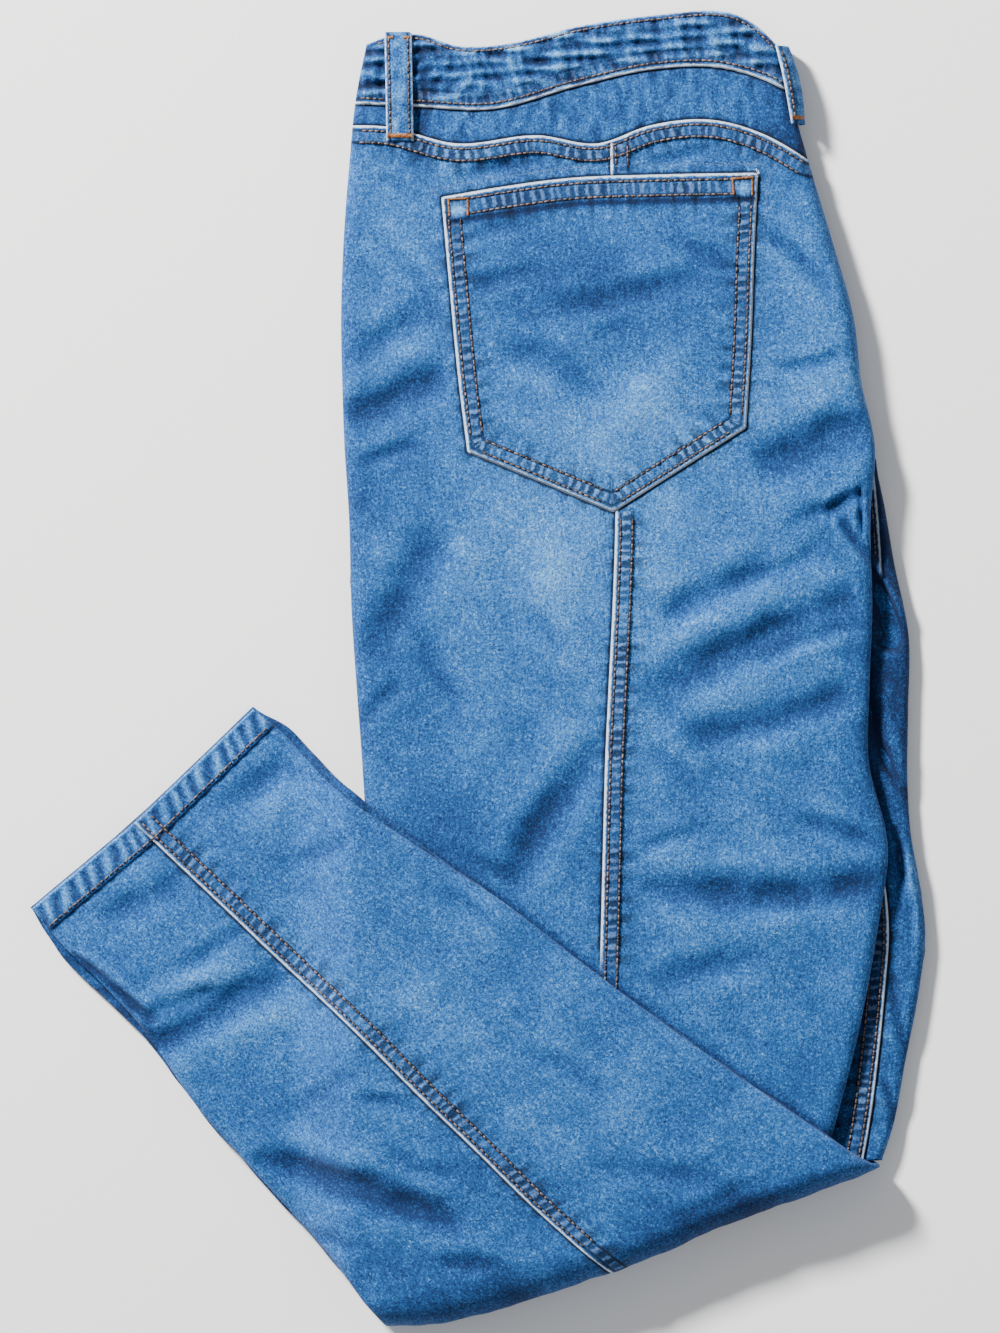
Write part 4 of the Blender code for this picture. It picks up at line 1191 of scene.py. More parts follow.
def panel_marks(x, y):
    """Tone from the creases, the patches and a painted shadow along the turned-up part's edge, and the
    numbers of the back seam, the yoke seam and the pocket.
    """
    across, along = nearest(YOKE_LINE, x, y)
    patch, round_it = nearest(np.concatenate([pocket_outline, pocket_hem]), x, y)
    reach = np.abs(patch)
    by_pocket = reach < 6
    across = np.where(by_pocket, patch, across)
    along = np.where(by_pocket, round_it, along)
    shows = np.where(by_pocket, 1 - ease(reach, 4, 6), ease(reach, 6, 8))
    down, run = nearest(BACK_SEAM, x, y)
    gap = np.abs(nearest(CALF_EDGE, x, y)[0])
    # A painted shadow darkens the leg along the turned-up part's edge.
    return {
        "tone": tone_of(leg_relief(x, y), x, y) + patches(FADES_AND_SHADE, x, y) - 0.5 * np.exp(-gap / 2.2),
        "lap_a": mark(down, run, seam_shows(x, y)),
        "lap_b": mark(across, along, shows),
    }


def back_panel(name, rule, start, end):
    """One panel between two lines of the leg, from the yoke seam to where it is covered."""
    rows = columns(SEAM_IN, PANEL_ROWS, np.array([2.0, 1.0, 0.0]))
    x, y = leg_places(YOKE_SEAM, THIGH_END, rows, rule, start, end)
    return shell(name, laid(panel_height, x, y), washed_denim, panel_marks(x, y))


outer_panel, outer_cut = back_panel("outer_panel_cloth", OUTER_COLUMNS, "left", "seam")
inner_panel, inner_cut = back_panel("inner_panel_cloth", INNER_COLUMNS, "seam", "right")
open_seam = [BACK_SEAM[BACK_SEAM[:, 1] > 248], BACK_SEAM[BACK_SEAM[:, 1] < 80]]
seam_rows = [on(panel_height, path, row) for path in open_seam for row in (STITCH_IN, STITCH_OUT)]
seam_rows += [within_leg(on(panel_height, YOKE_LINE, row)) for row in (STITCH_IN, STITCH_OUT)]
panel_thread = sew("back_seam_stitches", [stitch_row(line) for line in seam_rows], rust_thread)

# %% [markdown]
# ## Belt loops
# A belt loop is a folded strip, stitched along both sides, tacked at both ends and standing off the
# waistband between them. The left one is seen face on. The other sits on the centre back seam, which is
# the folded edge here, so it wraps round that edge and is seen from its side.

# %% Belt loops
LOOP_WALL = 1.6
LOOP_WIDTH = 13.5
LOOP_HALF = LOOP_WIDTH / 2
LOOP_CROWN = 0.35
LOOP_ROW = 2.0
SIDE_LOOP = Table("y x", (263.6, -39.2), (290, -39.6), (318.2, -40.2))
SIDE_ROW_ENDS = (316.5, 265.5)
CENTRE_ROW_ENDS = (309.5, 274.5)
CENTRE_BAR_ENDS = (276.6, 274.4)
SIDE_LOOP_ENDS = (318.2, 263.6)
SIDE_LOOP_ARCH = 1.6
CENTRE_LOOP_ENDS = (311.5, 272.5)
CENTRE_LOOP_TURN = (66.0, -28.0)
CENTRE_LOOP_ARCH = 2.6


def loop_form(aside):
    """Height across a loop: a low crown, round edges, and a groove under each row of stitches."""
    edge = LOOP_HALF - np.abs(aside)
    level = LOOP_CROWN * (1 - (aside / LOOP_HALF) ** 2) - 0.5 * (1 - rim_lift(edge, 1.3))
    return level - 0.3 * bell(edge, LOOP_ROW, 0.6)


def loop_marks(aside, along, noise_x, noise_y, seed):
    """A loop's tone, and the worn edge down both its sides."""
    edge = LOOP_HALF - np.abs(aside)
    return {
        "tone": 0.1 * uneven(noise_x, noise_y, 8.0, seed) + 0.2,
        "lap_a": mark(edge + 0.1, along, 1 - ease(edge, 2.2, 3.0)),
    }


def side_loop_height(x, y):
    """The leg's height, the waistband's, a gap, the loop's arch and its own wall and crown."""
    top, foot = SIDE_LOOP_ENDS
    arch = SIDE_LOOP_ARCH * np.sin(np.pi * np.clip((y - foot) / (top - foot), 0, 1)) ** 0.7
    lift = WAISTBAND_RISE * ease(y, 274, 284) + LIE_GAP + arch + LOOP_WALL
    wrinkle = 0.18 * uneven(x, y, 9.0, 31)
    end = 0.9 * (1 - rim_lift(np.minimum(y - foot, top - y) + 0.1, 1.4))
    return leg_height(x, y) + lift + loop_form(x - SIDE_LOOP.at("x", y)) + wrinkle - end


def side_loop():
    """A strip of rows down its own middle line."""
    edge = np.array([0, 0.3, 0.7, 1.2, 1.7, 2.2, 2.8])
    a, b = columns(edge, 8, edge[::-1])
    aside = a + b * LOOP_WIDTH - LOOP_HALF
    y = np.repeat(np.linspace(*SIDE_LOOP_ENDS, 64)[:, None], len(aside), axis=1)
    x = SIDE_LOOP.at("x", y) + aside
    marks = loop_marks(x - SIDE_LOOP.at("x", y), y, x, y, 32)
    return shell("side_loop_cloth", laid(side_loop_height, x, y), deep_and_shaded_denim, marks, LOOP_WALL)


def centre_loop_point(turn, y, offset):
    """Round the folded edge by an angle, at an offset outside it that is largest half way down."""
    t = (CENTRE_LOOP_ENDS[0] - y) / (CENTRE_LOOP_ENDS[0] - CENTRE_LOOP_ENDS[1])
    out = WAISTBAND_RISE + LIE_GAP + 0.1 + CENTRE_LOOP_ARCH * np.sin(np.pi * np.clip(t, 0, 1)) + offset
    middle = THIGH_HEIGHT.at("top", y) / 2
    x = THIGH.at("right", y) - ROLL + (ROLL + out) * np.cos(turn)
    return np.stack([x, y + 0 * x, middle + (middle + out) * np.sin(turn)], axis=-1)


def centre_loop():
    """The same strip, wrapped round the centre back fold."""
    turns = np.radians(np.linspace(*CENTRE_LOOP_TURN, 22))[None, :]
    y = np.repeat(np.linspace(*CENTRE_LOOP_ENDS, 52)[:, None], 22, axis=1)
    aside = np.linspace(-LOOP_HALF, LOOP_HALF, 22)[None, :] + 0 * y
    grid = centre_loop_point(turns, y, LOOP_WALL + loop_form(aside))
    return shell("centre_loop_cloth", grid, deep_and_shaded_denim, loop_marks(aside, y, y, aside, 33), LOOP_WALL)


side_piece, side_cut = side_loop()
centre_piece, centre_cut = centre_loop()
loop_y = np.linspace(*SIDE_ROW_ENDS, 60)
loop_rows = []
for aside in (LOOP_ROW - LOOP_HALF, LOOP_HALF - LOOP_ROW):
    loop_x = SIDE_LOOP.at("x", loop_y) + aside
    loop_z = side_loop_height(loop_x, loop_y) + STITCH_LIFT
    loop_rows.append(stitch_row(np.column_stack([loop_x, loop_y, loop_z])))
side_thread = sew("side_loop_stitches", loop_rows, rust_thread)
y_line = np.linspace(*CENTRE_ROW_ENDS, 50)
wraps = np.radians([CENTRE_LOOP_TURN[0] - 12, CENTRE_LOOP_TURN[1] + 14])
wrap_rows = [stitch_row(centre_loop_point(turn, y_line, LOOP_WALL + STITCH_LIFT)) for turn in wraps]
centre_thread = sew("centre_loop_stitches", wrap_rows, rust_thread)

LOOP_BARS = (
    (-45.4, 266.4, -33.2, 266.2, 2.4),
    (-45.6, 315.4, -43.0, 315.4, 1.6),
    (-37.4, 315.4, -34.8, 315.4, 1.6),
)
side_tacks = [bar_tack(side_loop_height, 0.1, *row) for row in LOOP_BARS]
side_bars = sew("side_loop_bars", side_tacks, bar_thread, BAR_RADIUS)
bar_turn = np.radians(np.linspace(20, 62, 22))
bar_ends = [centre_loop_point(bar_turn, np.full(22, y), LOOP_WALL + 0.3) for y in CENTRE_BAR_ENDS]
centre_bars = sew("centre_loop_bars", [np.stack(bar_ends, axis=1)], bar_thread, BAR_RADIUS)

CORNERS = ((-15.4, -5.2, 224.4, 234.4), (126.6, 137.0, 234.8, 244.8))
corner_bars = []
for left_x, right_x, low, high in CORNERS:
    for line in (
        (left_x, high, right_x, high + 0.6),
        (left_x + 0.4, high - 0.8, left_x + 0.9, low + 2),
        (right_x - 0.2, high - 0.4, right_x - 0.2, low + 2),
    ):
        corner_bars.append(bar_tack(pocket_height, 0.16, *line, 1.1))
pocket_bars = sew("pocket_bars", corner_bars, bar_thread, BAR_RADIUS)

# %% [markdown]
# ## The turned-up lower legs
# Both lower legs are turned up over the knee and lie across the thigh. The top one shows the back of the
# right leg. Here the useful numbers are how far a point is along from the hem and how far across from
# the seam, so the surface is a function of those two. Past the knee it rolls over in a half circle, down
# to the floor, as a rubber mat does when it is folded.

# %% Surface of the turned-up leg
HEM_ROW = 11.4
HEM_SCALE = STITCH_OUT / HEM_ROW
HEM_RIPPLE_LENGTH = 8.2
HEM_PUCKER = 0.6
KNEE_TURNS = np.radians(np.concatenate([np.linspace(84, 0, 14), np.linspace(-6, -78, 13)]))


THIGH_STARTS = (-95, -60)
THIGH_STOPS = (178, 198)
THIGH_THINS = 8.5


def calf_under(x):
    """Height of what the turned-up part lies on."""
    return THIGH_UNDER_CALF * ease(x, *THIGH_STARTS) - THIGH_THINS * ease(x, *THIGH_STOPS)


def calf_line(name, along):
    """A line of the turned-up leg as points."""
    return np.stack([CALF.at(f"{name}_x", along), CALF.at(f"{name}_y", along)], axis=-1)


def calf_place(along, across):
    """Where a point lies, and how far it is from its panel's outer edge: across < 0 is the outer panel."""
    left, seam, right = (calf_line(name, along) for name in ("left", "seam", "right"))
    towards = np.where(across[..., None] < 0, left - seam, right - seam)
    width = np.linalg.norm(towards, axis=-1)
    place = seam + towards * (np.abs(across) / width)[..., None]
    return place[..., 0], place[..., 1], width - np.abs(across)


def calf_relief(x, y):
    """Creases and unevenness of the turned-up leg."""
    return creases(CALF_FOLDS + CALF_CREASES, x, y) + rough(x, y, 41)


def hem_ripple(along, across):
    """The hem's puckers: waves about 8 mm long round the hem, leaning a little and never even."""
    drift = 1.8 * np.sin(across / 13.0) + 1.1 * np.sin(across / 5.3 + 1.0)
    return np.sin((across + 0.5 * along) * 2 * np.pi / HEM_RIPPLE_LENGTH + drift)


def calf_seams(along, across):
    """Height of the seam's lap and of the hem, whichever is higher, with the hem's puckers."""
    down = lapped(across, along)
    folded = 1 - ease(along, HEM_DEPTH - 0.5, HEM_DEPTH + 0.8)
    hem = HEM_RISE * (0.4 + 0.6 * rim_lift(along + 0.1, 1.4)) * folded
    hem += HEM_PUCKER * hem_ripple(along, across) * ease(along, 0.6, 3.5) * (1 - ease(along, 9.5, 15))
    hem -= GROOVE * bell(along, HEM_ROW, 0.7)
    crossed = np.maximum(down, hem) + 0.35 * np.minimum(down, hem)
    return np.where((down > 0) & (hem > 0), crossed, down + hem)


HEM_THINS = 2.5
HEM_THIN_LENGTH = 60


def calf_surface(along, across):
    """Point of the turned-up leg: its place, and stack height and relief over a round edge."""
    x, y, from_edge = calf_place(along, across)
    under = calf_under(x)
    height = CALF_STACK - HEM_THINS * (1 - ease(along, 0, HEM_THIN_LENGTH))
    pair = under + PAIR_SHARE * height
    top = under + height + calf_relief(x, y)
    z = pair + (top - pair) * rim_lift(from_edge, ROLL)
    return np.stack([x, y, z + calf_seams(along, across)], axis=-1)


def calf_grid(rule, along, left_side):
    """Along and across of each point of a panel, whose columns are set by a rule from its left border."""
    a, b = rule
    side = calf_line("left" if left_side else "right", along)
    width = np.linalg.norm(calf_line("seam", along) - side, axis=1)[:, None]
    across = a + b * width - (width if left_side else 0)
    return along[:, None] + 0 * across, across


def over_knee(last, rule, left_side, turns):
    """Places and heights of the rows that roll a last row over the knee fold in a half circle."""
    ends = np.array([(x, KNEE_FOLD.at("y", x)) for x in KNEE_ENDS])
    start, end = (ends[0], ends[1]) if left_side else (ends[1], ends[2])
    a, b = rule
    width = np.linalg.norm(end - start)
    x = start[0] + (end - start)[0] * (a + b * width) / width
    knee = np.column_stack([x, KNEE_FOLD.at("y", x)])
    turn = turns[:, None]
    place = knee[None] + (last[None, :, :2] - knee[None]) * (1 - np.cos(turn))[..., None]
    return place, last[None, :, 2] * (1 + np.sin(turn)) / 2


# Plus amounts are faded, paler dye. Minus amounts are painted shade: near the knee fold, where the cloth
# rolls away, along the long crease above it, and on the curled edge at the lower left.
CALF_FADES_AND_SHADE = (
    (-60, -165, 70, 28, 0.1),
    (60, -215, 60, 22, 0.06),
    (-20, -300, 60, 14, -0.12),
    (120, -268, 60, 12, -0.14),
    (-44, -258, 50, 26, -0.13),
    (-196, -152, 5, 5, -0.1),
    (-186, -161.5, 5, 5, -0.16),
    (-176, -172, 5, 5, -0.26),
    (-168, -181, 5, 5, -0.36),
)


def turned_panel(name, rule, left_side):
    """Rows from the hem to the knee, then rows that roll over it."""
    hem, leg = np.linspace(3.8, 16, 15), np.linspace(17.3, CALF_LENGTH, 205)
    rows = np.concatenate([[0, 0.3, 0.7, 1.2, 1.9, 2.8], hem, leg])
    along, across = calf_grid(rule, rows, left_side)
    flat = calf_surface(along, across)
    place, height = over_knee(flat[-1], rule, left_side, KNEE_TURNS)
    ripple = 0.35 * uneven(*flat[-1, :, :2].T, 16.0, 43) * np.cos(KNEE_TURNS[:, None]) ** 2
    grid = np.concatenate([flat, np.dstack([place + ripple[..., None] * [0.4, -0.9], height])])
    x, y, _ = calf_place(along, across)
    tone = tone_of(calf_relief(x, y), x, y, 44) + patches(CALF_FADES_AND_SHADE, x, y)
    # Pale on the hem puckers' crests and deep between them: worn dye, and painted light and shade. The
    # very edge is worn pale, and a painted shadow line lies just past the hem's depth.
    tone += 0.32 * hem_ripple(along, across) * ease(along, 0.5, 3) * (1 - ease(along, 9, 15))
    tone += 0.3 * (1 - ease(along, 0.4, 1.4)) - 0.45 * bell(along, HEM_DEPTH + 0.2, 0.9)
    # The rows that roll over the knee are a little darker: painted shade.
    under = np.repeat(tone[-1:] - 0.06, len(KNEE_TURNS), axis=0)
    beyond = CALF_LENGTH + 1.6 * np.arange(1, len(KNEE_TURNS) + 1)[:, None] + 0 * under
    all_along = np.concatenate([along, beyond])
    all_across = np.concatenate([across, np.repeat(across[-1:], len(KNEE_TURNS), axis=0)])
    marks = {
        "tone": np.concatenate([tone, under]),
        "lap_a": mark(all_across, all_along, 0.4 + 0.6 * ease(all_along, 9, 13)),
        "lap_b": mark(all_along * HEM_SCALE + 0.7, all_across, 0.12 - 0.12 * ease(all_along, 9, 14)),
    }
    return shell(name, grid, washed_denim, marks)


CALF_OUTER = columns(ROLL_IN, 36, SEAM_OUT)
CALF_INNER = columns(SEAM_IN, 36, ROLL_IN[::-1])
calf_outer, calf_outer_cut = turned_panel("turned_outer_cloth", CALF_OUTER, True)
calf_inner, calf_inner_cut = turned_panel("turned_inner_cloth", CALF_INNER, False)
along_line = np.linspace(2, CALF_LENGTH, 240)
across_line = np.linspace(-74, 88, 190)
hem_along = np.full(len(across_line), HEM_ROW)
calf_rows = [calf_surface(along_line, np.full(240, row)) for row in (STITCH_IN, STITCH_OUT)]
calf_rows.append(calf_surface(hem_along, across_line)[calf_place(hem_along, across_line)[2] > 0.8])
calf_rows = [line + [0, 0, STITCH_LIFT] for line in calf_rows]
calf_thread = sew("turned_leg_stitches", [stitch_row(line) for line in calf_rows], rust_thread)

# %% [markdown]
# ## The right thigh beside the left one
# Between the crotch and the knee a strip of the right leg shows: its inner back panel with a round outer
# edge, and below it a little of its front, lapped at the inseam. It is deep in shade and sharply folded
# where the crotch pulls it.

# %% Strip of the right thigh
STRIP_ENDS = (103.5, -246.5)
FRONT_TOP = -96.0
FRONT_TUCK = SEAM_BAND + 1.5
SEAT_ROW = 2.2
STRIP_CREASES = (
    (198, 46, 210, 12, 0, 6.0, 3.4),
    (196, 56, 218, 20, 0, 2.2, -2.2),
    (198, 14, 212, 10, 0, 3.0, 1.2),
    (195, 0, 216, -66, -6, 3.2, 1.8),
    (206, -6, 215, -48, -4, 3.0, -1.0),
    (209, -78, 210, -122, 2, 2.8, 1.6),
    (214, -88, 220, -140, 2, 2.6, -0.8),
    (206, -140, 216, -196, -2, 3.2, 0.9),
    (200, -200, 210, -236, 2, 3.0, 0.8),
)


def strip_relief(x, y):
    """Creases and unevenness of the strip."""
    return creases(STRIP_CREASES, x, y) + 0.25 * uneven(x, y, 20.0, 51)


def strip_height(x, y):
    """Level stack with a round outer edge, and its creases."""
    lift = rim_lift(RIGHT_THIGH.at("outline", y) - x, RIGHT_THIGH_ROLL)
    top = RIGHT_THIGH_TOP + strip_relief(x, y) * lift
    return RIGHT_THIGH_MIDDLE + (top - RIGHT_THIGH_MIDDLE) * lift


INSEAM = path_of(RIGHT_THIGH, np.arange(-250, 120, 6), "inseam", key_first=False)
SEAT_SEAM = np.array(
    [(201.6, 46.0), (200.8, 60.0), (199.8, 74.0), (198.6, 88.0), (197.2, 101.0), (196.0, 114.0)]
)


def strip_panel(name, y, start, end, rule, front):
    """A strip from line to line, whose front laps 8 mm over its back at the inseam."""
    a, b = rule
    x = start[:, None] + a + b * (end - start)[:, None]
    y = np.repeat(y[:, None], x.shape[1], axis=1)
    inside, along = nearest(INSEAM, x, y)
    seat, run = nearest(SEAT_SEAM, x, y)
    z = strip_height(x, y) + lapped(inside, along) + (0.0 if front else lapped(seat, run))
    # Painted shade: the strip is darker towards the crotch, and a painted shadow lies along the left
    # thigh's edge beside it.
    tone = 1.6 * tone_of(strip_relief(x, y), x, y, 52) + 0.04 - 0.34 * ease(y, -110, 0)
    marks = {
        "tone": tone - 0.3 * np.exp(-np.abs(x - THIGH.at("right", y)) / 6),
        "lap_a": mark(inside, along, ease(-y, 70, 90)),
        "lap_b": mark(seat, run, 0.0 if front else 0.45 * ease(y, 44, 56)),
    }
    return shell(name, np.dstack([x, y, z]), deep_and_shaded_denim, marks)


def front_edge(y):
    """Where the front's strip is tucked under the left thigh."""
    return np.minimum(THIGH.at("right", y) - TUCK, RIGHT_THIGH.at("inseam", y) - FRONT_TUCK)


y = np.linspace(*STRIP_ENDS, 270)
roll = RIGHT_THIGH_ROLL * (1 - np.cos(ROLL_TURNS))
back_rule = columns(SEAM_OUT[::-1], 12, roll[::-1])
inseam, outline = RIGHT_THIGH.at("inseam", y), RIGHT_THIGH.at("outline", y)
strip_piece, strip_cut = strip_panel("right_thigh_cloth", y, inseam, outline, back_rule, False)
low = y[y < FRONT_TOP]
front_rule = columns(np.array([0.0, 1.0]), 4, SEAM_IN[16::-1])
inseam = RIGHT_THIGH.at("inseam", low)
front_piece, front_cut = strip_panel("right_front_cloth", low, front_edge(low), inseam, front_rule, True)

inseam_low = INSEAM[INSEAM[:, 1] < FRONT_TOP - 12]
strip_rows = [
    on(strip_height, path, row) + [0, 0, rise]
    for path, row, rise in (
        (inseam_low, STITCH_IN, SEAM_RISE),
        (inseam_low, STITCH_OUT, SEAM_RISE),
        (SEAT_SEAM, SEAT_ROW, 0.4),
    )
]
strip_thread = sew("right_thigh_stitches", [stitch_row(line) for line in strip_rows], rust_thread)

# %% [markdown]
# ## Hidden layers
# Under the panels are the layers that the photograph hides. Only their edges show, as a stack of round
# folds with dark gaps between. One closed block stands for them under the thigh and one in the turned-up
# part. Each is a ring round the stack, carried along it: top, stepped edge, underside, stepped edge. The
# steps are smooth curves through a few drawn points, and a random wave keeps them from being straight.

# %% Layered blocks
THIGH_LEFT_LAYERS = (
    (0.2, 0.700),
    (0.6, 0.640),
    (1.6, 0.570),
    (5.0, 0.515),
    (1.4, 0.455),
    (0.6, 0.360),
    (2.6, 0.255),
    (0.9, 0.160),
    (1.0, 0.070),
    (3.2, 0.0),
)
CALF_LAYERS = (
    (0.2, 0.660),
    (1.2, 0.590),
    (4.6, 0.510),
    (0.3, 0.400),
    (0.3, 0.160),
    (2.0, 0.020),
)
CALF_HEM_FOOT = ((2.3, 0.004), (2.7, 0.0))
PEEK = Table(
    "along left right",
    (0, 0.5, 0.8),
    (20, 3.0, 3.0),
    (85, 3.4, 2.6),
    (125, 1.0, 0.2),
    (220, 1.2, 0.0),
    (300, 0.6, 0.0),
)
PEEKING_LAYERS = (3, 4)
CALF_ACROSS = np.array([0.674, 0.739])
SLOT_DEPTH = 14.0
KNEE_UNDER = 5.0
HEM_PROUD = 1.0
END_BLEND = 16.0
LEVELS = 34
HIDDEN_SINK = 0.35
UNDERSIDE_RELIEF = 0.5
THIGH_FOLD_SINK = 0.64
CALF_FOLD_SINK = 0.6
WAVE_REACH = 0.45
WAVE_LENGTH = 13.0
HIDDEN_SHADE = -0.16


def smooth_through(points, count):
    """Cubic through the points along the second axis, sampled evenly by their numbers."""
    where = np.linspace(0, points.shape[1] - 1, count)
    i = np.minimum(where.astype(int), points.shape[1] - 2)
    t = (where - i)[None, :, None]
    slope = np.gradient(points, axis=1)
    value, slope = np.moveaxis(points, 1, 0), np.moveaxis(slope, 1, 0)
    return np.moveaxis(hermite(value, slope, 1.0, i, np.moveaxis(t, 1, 0)), 0, 1)


def end_points(row, outward, layers, left_rim, right_rim):
    """Points down the end of a block below its end row, which join the edges' own layers smoothly."""
    place = row[:, :2]
    near_left, near_right = (
        np.clip(1 - np.linalg.norm(place - corner, axis=1) / END_BLEND, 0, 1)[:, None]
        for corner in (place[0], place[-1])
    )
    middle = 1 - near_left - near_right
    levels = []
    for (depth, share), left, right in zip(layers, left_rim, right_rim):
        shift = -np.array(outward) * depth * middle
        shift = shift + (left[:2] - place[0]) * near_left + (right[:2] - place[-1]) * near_right
        height = (row[:, 2] * share)[:, None] * middle + left[2] * near_left + right[2] * near_right
        levels.append(np.hstack([place + shift, height])[1:-1])
    return np.array(levels)


def block(name, top, left_edge, right_edge, end_wall):
    """A closed ring of rows: underside, left edge, top and right edge, with a wall at each end."""
    count, inner = top.shape[0], top.shape[1] - 2
    share = np.linspace(0, 1, inner + 2)[1:-1][None, :, None]
    under = right_edge[:, -1:] + (left_edge[:, -1:] - right_edge[:, -1:]) * share
    from_edge = np.minimum(share[..., 0], 1 - share[..., 0]) * 12
    lift = np.clip(uneven(under[..., 0], under[..., 1], 38.0, 61), 0, 2)
    under[..., 2] = np.maximum(under[..., 2], 0) + UNDERSIDE_RELIEF * lift * ease(from_edge, 0, 1)
    ring = np.concatenate([left_edge[:, ::-1], top, right_edge, under], axis=1)
    width = ring.shape[1]
    index = np.arange(count * width).reshape(count, width)
    ahead = np.roll(index, -1, axis=1)
    sides = np.stack([index[:-1], index[1:], ahead[1:], ahead[:-1]], axis=-1).reshape(-1, 4)
    side = left_edge.shape[1]
    wall = np.empty((side + 1, inner + 2), int)
    wall[0] = np.arange(side, side + inner + 2)
    wall[1:, 0] = np.arange(side - 1, -1, -1)
    wall[1:, -1] = np.arange(side + inner + 2, 2 * side + inner + 2)
    wall[-1, 1:-1] = np.arange(width - 1, width - 1 - inner, -1)
    wall[1:-1, 1:-1] = count * width + np.arange((side - 1) * inner).reshape(side - 1, inner)
    corners = [wall[:-1, :-1], wall[1:, :-1], wall[1:, 1:], wall[:-1, 1:]]
    first = np.stack(corners[::-1], axis=-1).reshape(-1, 4)
    faces = np.concatenate([sides, first]).tolist() + [index[-1][::-1].tolist()]
    points = np.concatenate([ring.reshape(-1, 3), end_wall[: side - 1].reshape(-1, 3)])
    # The hidden layers are painted darker than the top cloth, as painted shade for cloth in the stack's
    # crevices, with slow random patches.
    tone = HIDDEN_SHADE + 0.12 * uneven(points[:, 0], points[:, 1] + 3 * points[:, 2], 14.0, 62)
    uv = np.column_stack([points[:, 0] + points[:, 2], points[:, 1]])
    piece = add_mesh(name, points, faces, deep_and_shaded_denim, uv, {"tone": tone})
    shape = bmesh.new()
    shape.from_mesh(piece.data)
    bmesh.ops.recalc_face_normals(shape, faces=shape.faces)
    shape.to_mesh(piece.data)
    shape.free()
    print(name, "triangles", 2 * len(faces))
    return piece


def waved(side, inward, seed):
    """An edge whose layers wander in and out by up to half a millimetre, each by its own wave."""
    level = np.arange(side.shape[1])[None, :] * 2.0
    x, y = side[..., 0] * 0.6, side[..., 1] * 0.6
    away = WAVE_REACH * uneven(y, level + x, WAVE_LENGTH, seed)
    return side + away[..., None] * np.append(inward, 0.0) * ease(level, 1, 8)[..., None]


def thigh_right_edge(row):
    """Crotch side: one round fold, or below the crotch the step down to the right thigh's own edge."""
    edge, y, middle = row.T
    turns = np.radians([-4, -12, -22, -32, -42, -52, -62, -72, -81, -90])
    fold_x = edge[:, None] - 0.4 - ROLL * (1 - np.cos(turns))
    fold_z = middle[:, None] * (1 + np.sin(turns))
    outline = RIGHT_THIGH.at("outline", y)
    under = RIGHT_THIGH_TOP - CLOTH - 0.9
    hidden = np.minimum(edge - TUCK, RIGHT_THIGH.at("inseam", y) - FRONT_TUCK) - 0.8
    inside = outline - RIGHT_THIGH_ROLL
    flap = [
        (edge - 0.6, middle - 0.9),
        (edge - 1.3, 10.8),
        (hidden, 9.9),
        (hidden, under),
        (inside, under),
        (inside + 2.0, under - 0.8),
        (outline - CLOTH - 0.8, RIGHT_THIGH_MIDDLE - 0.75),
        (outline - 0.4, RIGHT_THIGH_MIDDLE - 0.6),
        (outline - 1.2, 1.2),
        (outline - 3.0, 0.0),
    ]
    flap_x = np.stack([x for x, _ in flap], axis=1)
    flap_z = np.stack([np.broadcast_to(z, y.shape) for _, z in flap], axis=1)
    share = crotch_open(y)[:, None]
    x, z = fold_x + (flap_x - fold_x) * share, fold_z + (flap_z - fold_z) * share
    return np.dstack([x, np.repeat(y[:, None], x.shape[1], axis=1), z])


def thigh_layers():
    """The three hidden layers of the folded thighs, seat and waist, under the left leg's back."""
    rows = columns(np.array([0.4, 1.0, 2.0]), 190, np.array([1.0, 0.0]))
    x, y = leg_places(WAIST_TOP, THIGH_END, rows, columns(ROLL_IN[::2], 60, ROLL_IN[::-2]))
    surface = laid(leg_height, x, y)
    top = surface - face_out(surface, passes=2) * (CLOTH + HIDDEN_SINK)
    top[..., 2] -= THIGH_FOLD_SINK * np.clip(-creases(THIGH_FOLDS + THIGH_CREASES, x, y), 0, 1.2)
    layers = smooth_through(np.array([THIGH_LEFT_LAYERS]), LEVELS)[0]
    edge = surface[:, 0]
    height = (edge[:, 2:] / PAIR_SHARE) * np.maximum(layers[:, 1], 0)
    left = np.dstack([edge[:, :1] + layers[:, 0], edge[:, 1:2] + 0 * height, height])
    left = waved(left, (1, 0), 63)
    right = waved(smooth_through(thigh_right_edge(surface[:, -1]), LEVELS), (-1, 0), 64)
    left[..., 2], right[..., 2] = np.maximum(left[..., 2], 0), np.maximum(right[..., 2], 0)
    start = end_points(top[0], (0, 1), layers, left[0], right[0])
    return block("folded_layers_cloth", top, left, right, start)


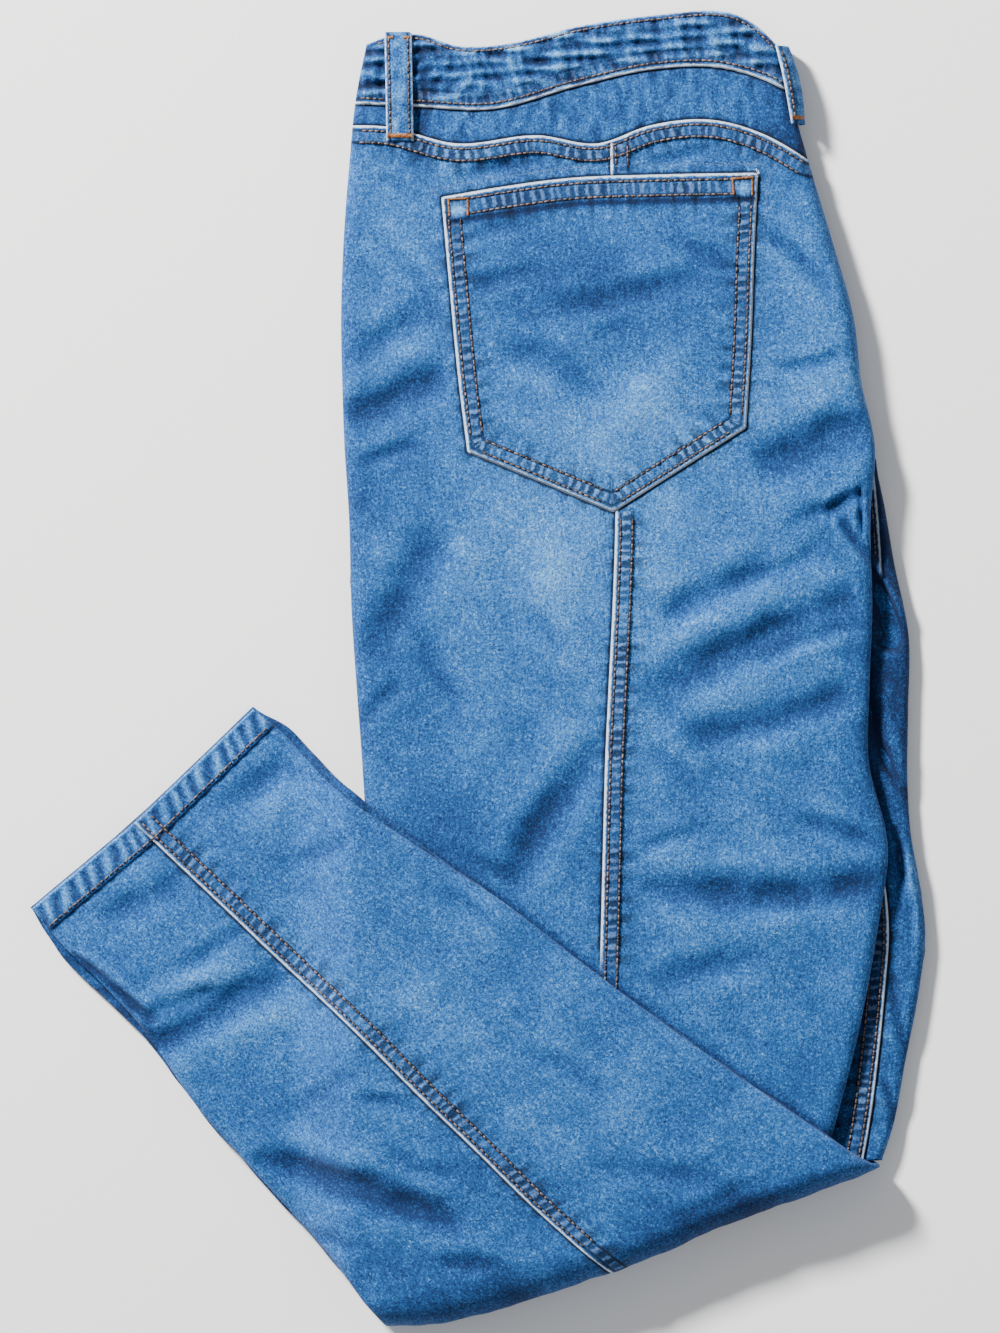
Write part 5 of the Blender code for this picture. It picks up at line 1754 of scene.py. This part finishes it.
def turned_layers():
    """The hidden layers of both turned-up lower legs, down to the floor, with a slot for the thigh."""
    outward = np.array([-CALF_ACROSS[1], CALF_ACROSS[0]])
    stations = np.concatenate([[0, 1, 3, 6], np.linspace(9, CALF_LENGTH, 110)])
    knee_turns = np.radians([72, 54, 36, 18, 0, -18, -36, -54])
    outer, inner = columns(ROLL_IN[::2], 24, SEAM_OUT[-2:]), columns(SEAM_IN[2::4], 24, ROLL_IN[::-2])
    halves = []
    for rule, left_side in ((outer, True), (inner, False)):
        along, across = calf_grid(rule, stations, left_side)
        x, y, _ = calf_place(along, across)
        flat = calf_surface(along, across)
        flat[..., 2] -= np.maximum(calf_seams(along, across), 0)
        flat[..., 2] -= CALF_FOLD_SINK * np.clip(-creases(CALF_FOLDS + CALF_CREASES, x, y), 0, 1.2)
        halves.append(np.concatenate([flat, np.dstack(over_knee(flat[-1], rule, left_side, knee_turns))]))
    grid = np.concatenate(halves, axis=1)
    before_knee = len(stations)
    knee_in = grid[before_knee - 1, :, :2] - grid[before_knee + 4, :, :2]
    knee_in /= np.linalg.norm(knee_in, axis=1, keepdims=True)
    floor_row = grid[-1].copy()
    floor_row[:, :2] += KNEE_UNDER * knee_in
    floor_row[:, 2] = 0
    edges = np.concatenate([grid, floor_row[None]])
    top = np.concatenate([grid - face_out(grid, passes=2) * (CLOTH + HIDDEN_SINK), floor_row[None]])
    left, right = edges[:, 0], edges[:, -1]

    beyond = np.clip(np.arange(len(edges)) - before_knee + 1, 0, None)
    along = np.append(stations, np.full(len(edges) - before_knee, CALF_LENGTH))
    over = ease(right[:, 0], -98, -78) * (along < CALF_LENGTH)
    rest = (calf_under(right[:, 0]) + LIE_GAP) * over
    foot = CALF_LAYERS[-1][0]
    slot = foot + (SLOT_DEPTH * (1 - 0.6 * ease(right[:, 0], 120, 186)) - foot) * over

    def side(edge, way, base, peek, deep):
        """Layers down one edge, then the underside to the slot's end, then down to the floor."""
        points = []
        for k, (depth, share) in enumerate(CALF_LAYERS):
            inside = depth - peek * (k in PEEKING_LAYERS)
            height = base + (edge[:, 2] - base) * share / PAIR_SHARE
            points.append(np.column_stack([edge[:, :2] + way * np.outer(inside, CALF_ACROSS), height]))
        for extra, height in ((0.3, base + 0.06), (0.7, 0 * base)):
            place = edge[:, :2] + way * CALF_ACROSS * (deep + extra)[:, None]
            points.append(np.column_stack([place, height]))
        points = waved(smooth_through(np.stack(points, axis=1), LEVELS), way * CALF_ACROSS, 65)
        shares = np.linspace(0.04, 1, LEVELS)[:, None]
        centre = points[before_knee - 1, -1]
        towards = np.append(edge[-1, :2] - centre[:2], 0)
        for row in range(before_knee, len(edge)):
            low_end = centre + towards * 0.9 * beyond[row] / beyond[-1]
            points[row] = edge[row] + (low_end - edge[row]) * shares
        points[..., 2] = np.maximum(points[..., 2], 0)
        return points

    flat = np.zeros(len(edges))
    left_side = side(left, 1, flat, PEEK.at("left", along), flat + foot)
    right_side = side(right, -1, rest, PEEK.at("right", along), slot)
    layers = [(depth - HEM_PROUD, share) for depth, share in CALF_LAYERS + CALF_HEM_FOOT]
    layers = smooth_through(np.array([layers]), LEVELS)[0]
    for points in (left_side, right_side):
        points[0, :, :2] -= outward * layers[:, :1]
    start = end_points(top[0], outward, layers, left_side[0], right_side[0])
    return block("turned_layers_cloth", top, left_side, right_side, start)


thigh_block = thigh_layers()
turned_block = turned_layers()

# %% [markdown]
# ## What each piece stands for
# Last, each piece's solid is hidden, as the piece takes its place. A flat cut's length and width are the
# cloth's own, measured along the grid, so a crease takes up cloth as it does on a table.

# %% Solids, finishes and flat cuts
PIECES = (
    (waistband_piece, "waistband", "denim_deep", waistband_cut, thigh_block, [waistband_thread]),
    (yoke_piece, "left_back_yoke", "denim", yoke_cut, thigh_block, []),
    (outer_panel, "left_back_outer_panel", "denim", outer_cut, thigh_block, []),
    (inner_panel, "left_back_inner_panel", "denim", inner_cut, thigh_block, [panel_thread]),
    (pocket_piece, "left_back_pocket", "denim", pocket_cut, inner_panel, [pocket_thread, pocket_bars]),
    (side_piece, "side_belt_loop", "denim_deep", side_cut, waistband_piece, [side_thread, side_bars]),
    (
        centre_piece,
        "centre_back_belt_loop",
        "denim_deep",
        centre_cut,
        waistband_piece,
        [centre_thread, centre_bars],
    ),
    (calf_outer, "right_back_outer_panel", "denim", calf_outer_cut, turned_block, []),
    (calf_inner, "right_back_inner_panel", "denim", calf_inner_cut, turned_block, [calf_thread]),
    (strip_piece, "right_thigh_inner_panel", "denim", strip_cut, thigh_block, [strip_thread]),
    (front_piece, "right_front_panel", "denim_deep", front_cut, thigh_block, []),
)
for piece, solid, finish, (width, length, area), under, sewn in PIECES:
    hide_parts(solid)
    cut_area = min(area, width * length)
for piece, solid in ((thigh_block, "folded_layers"), (turned_block, "turned_up_layers")):
    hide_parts(solid)
print("cloth pieces", len(PIECES), "blocks", 2)
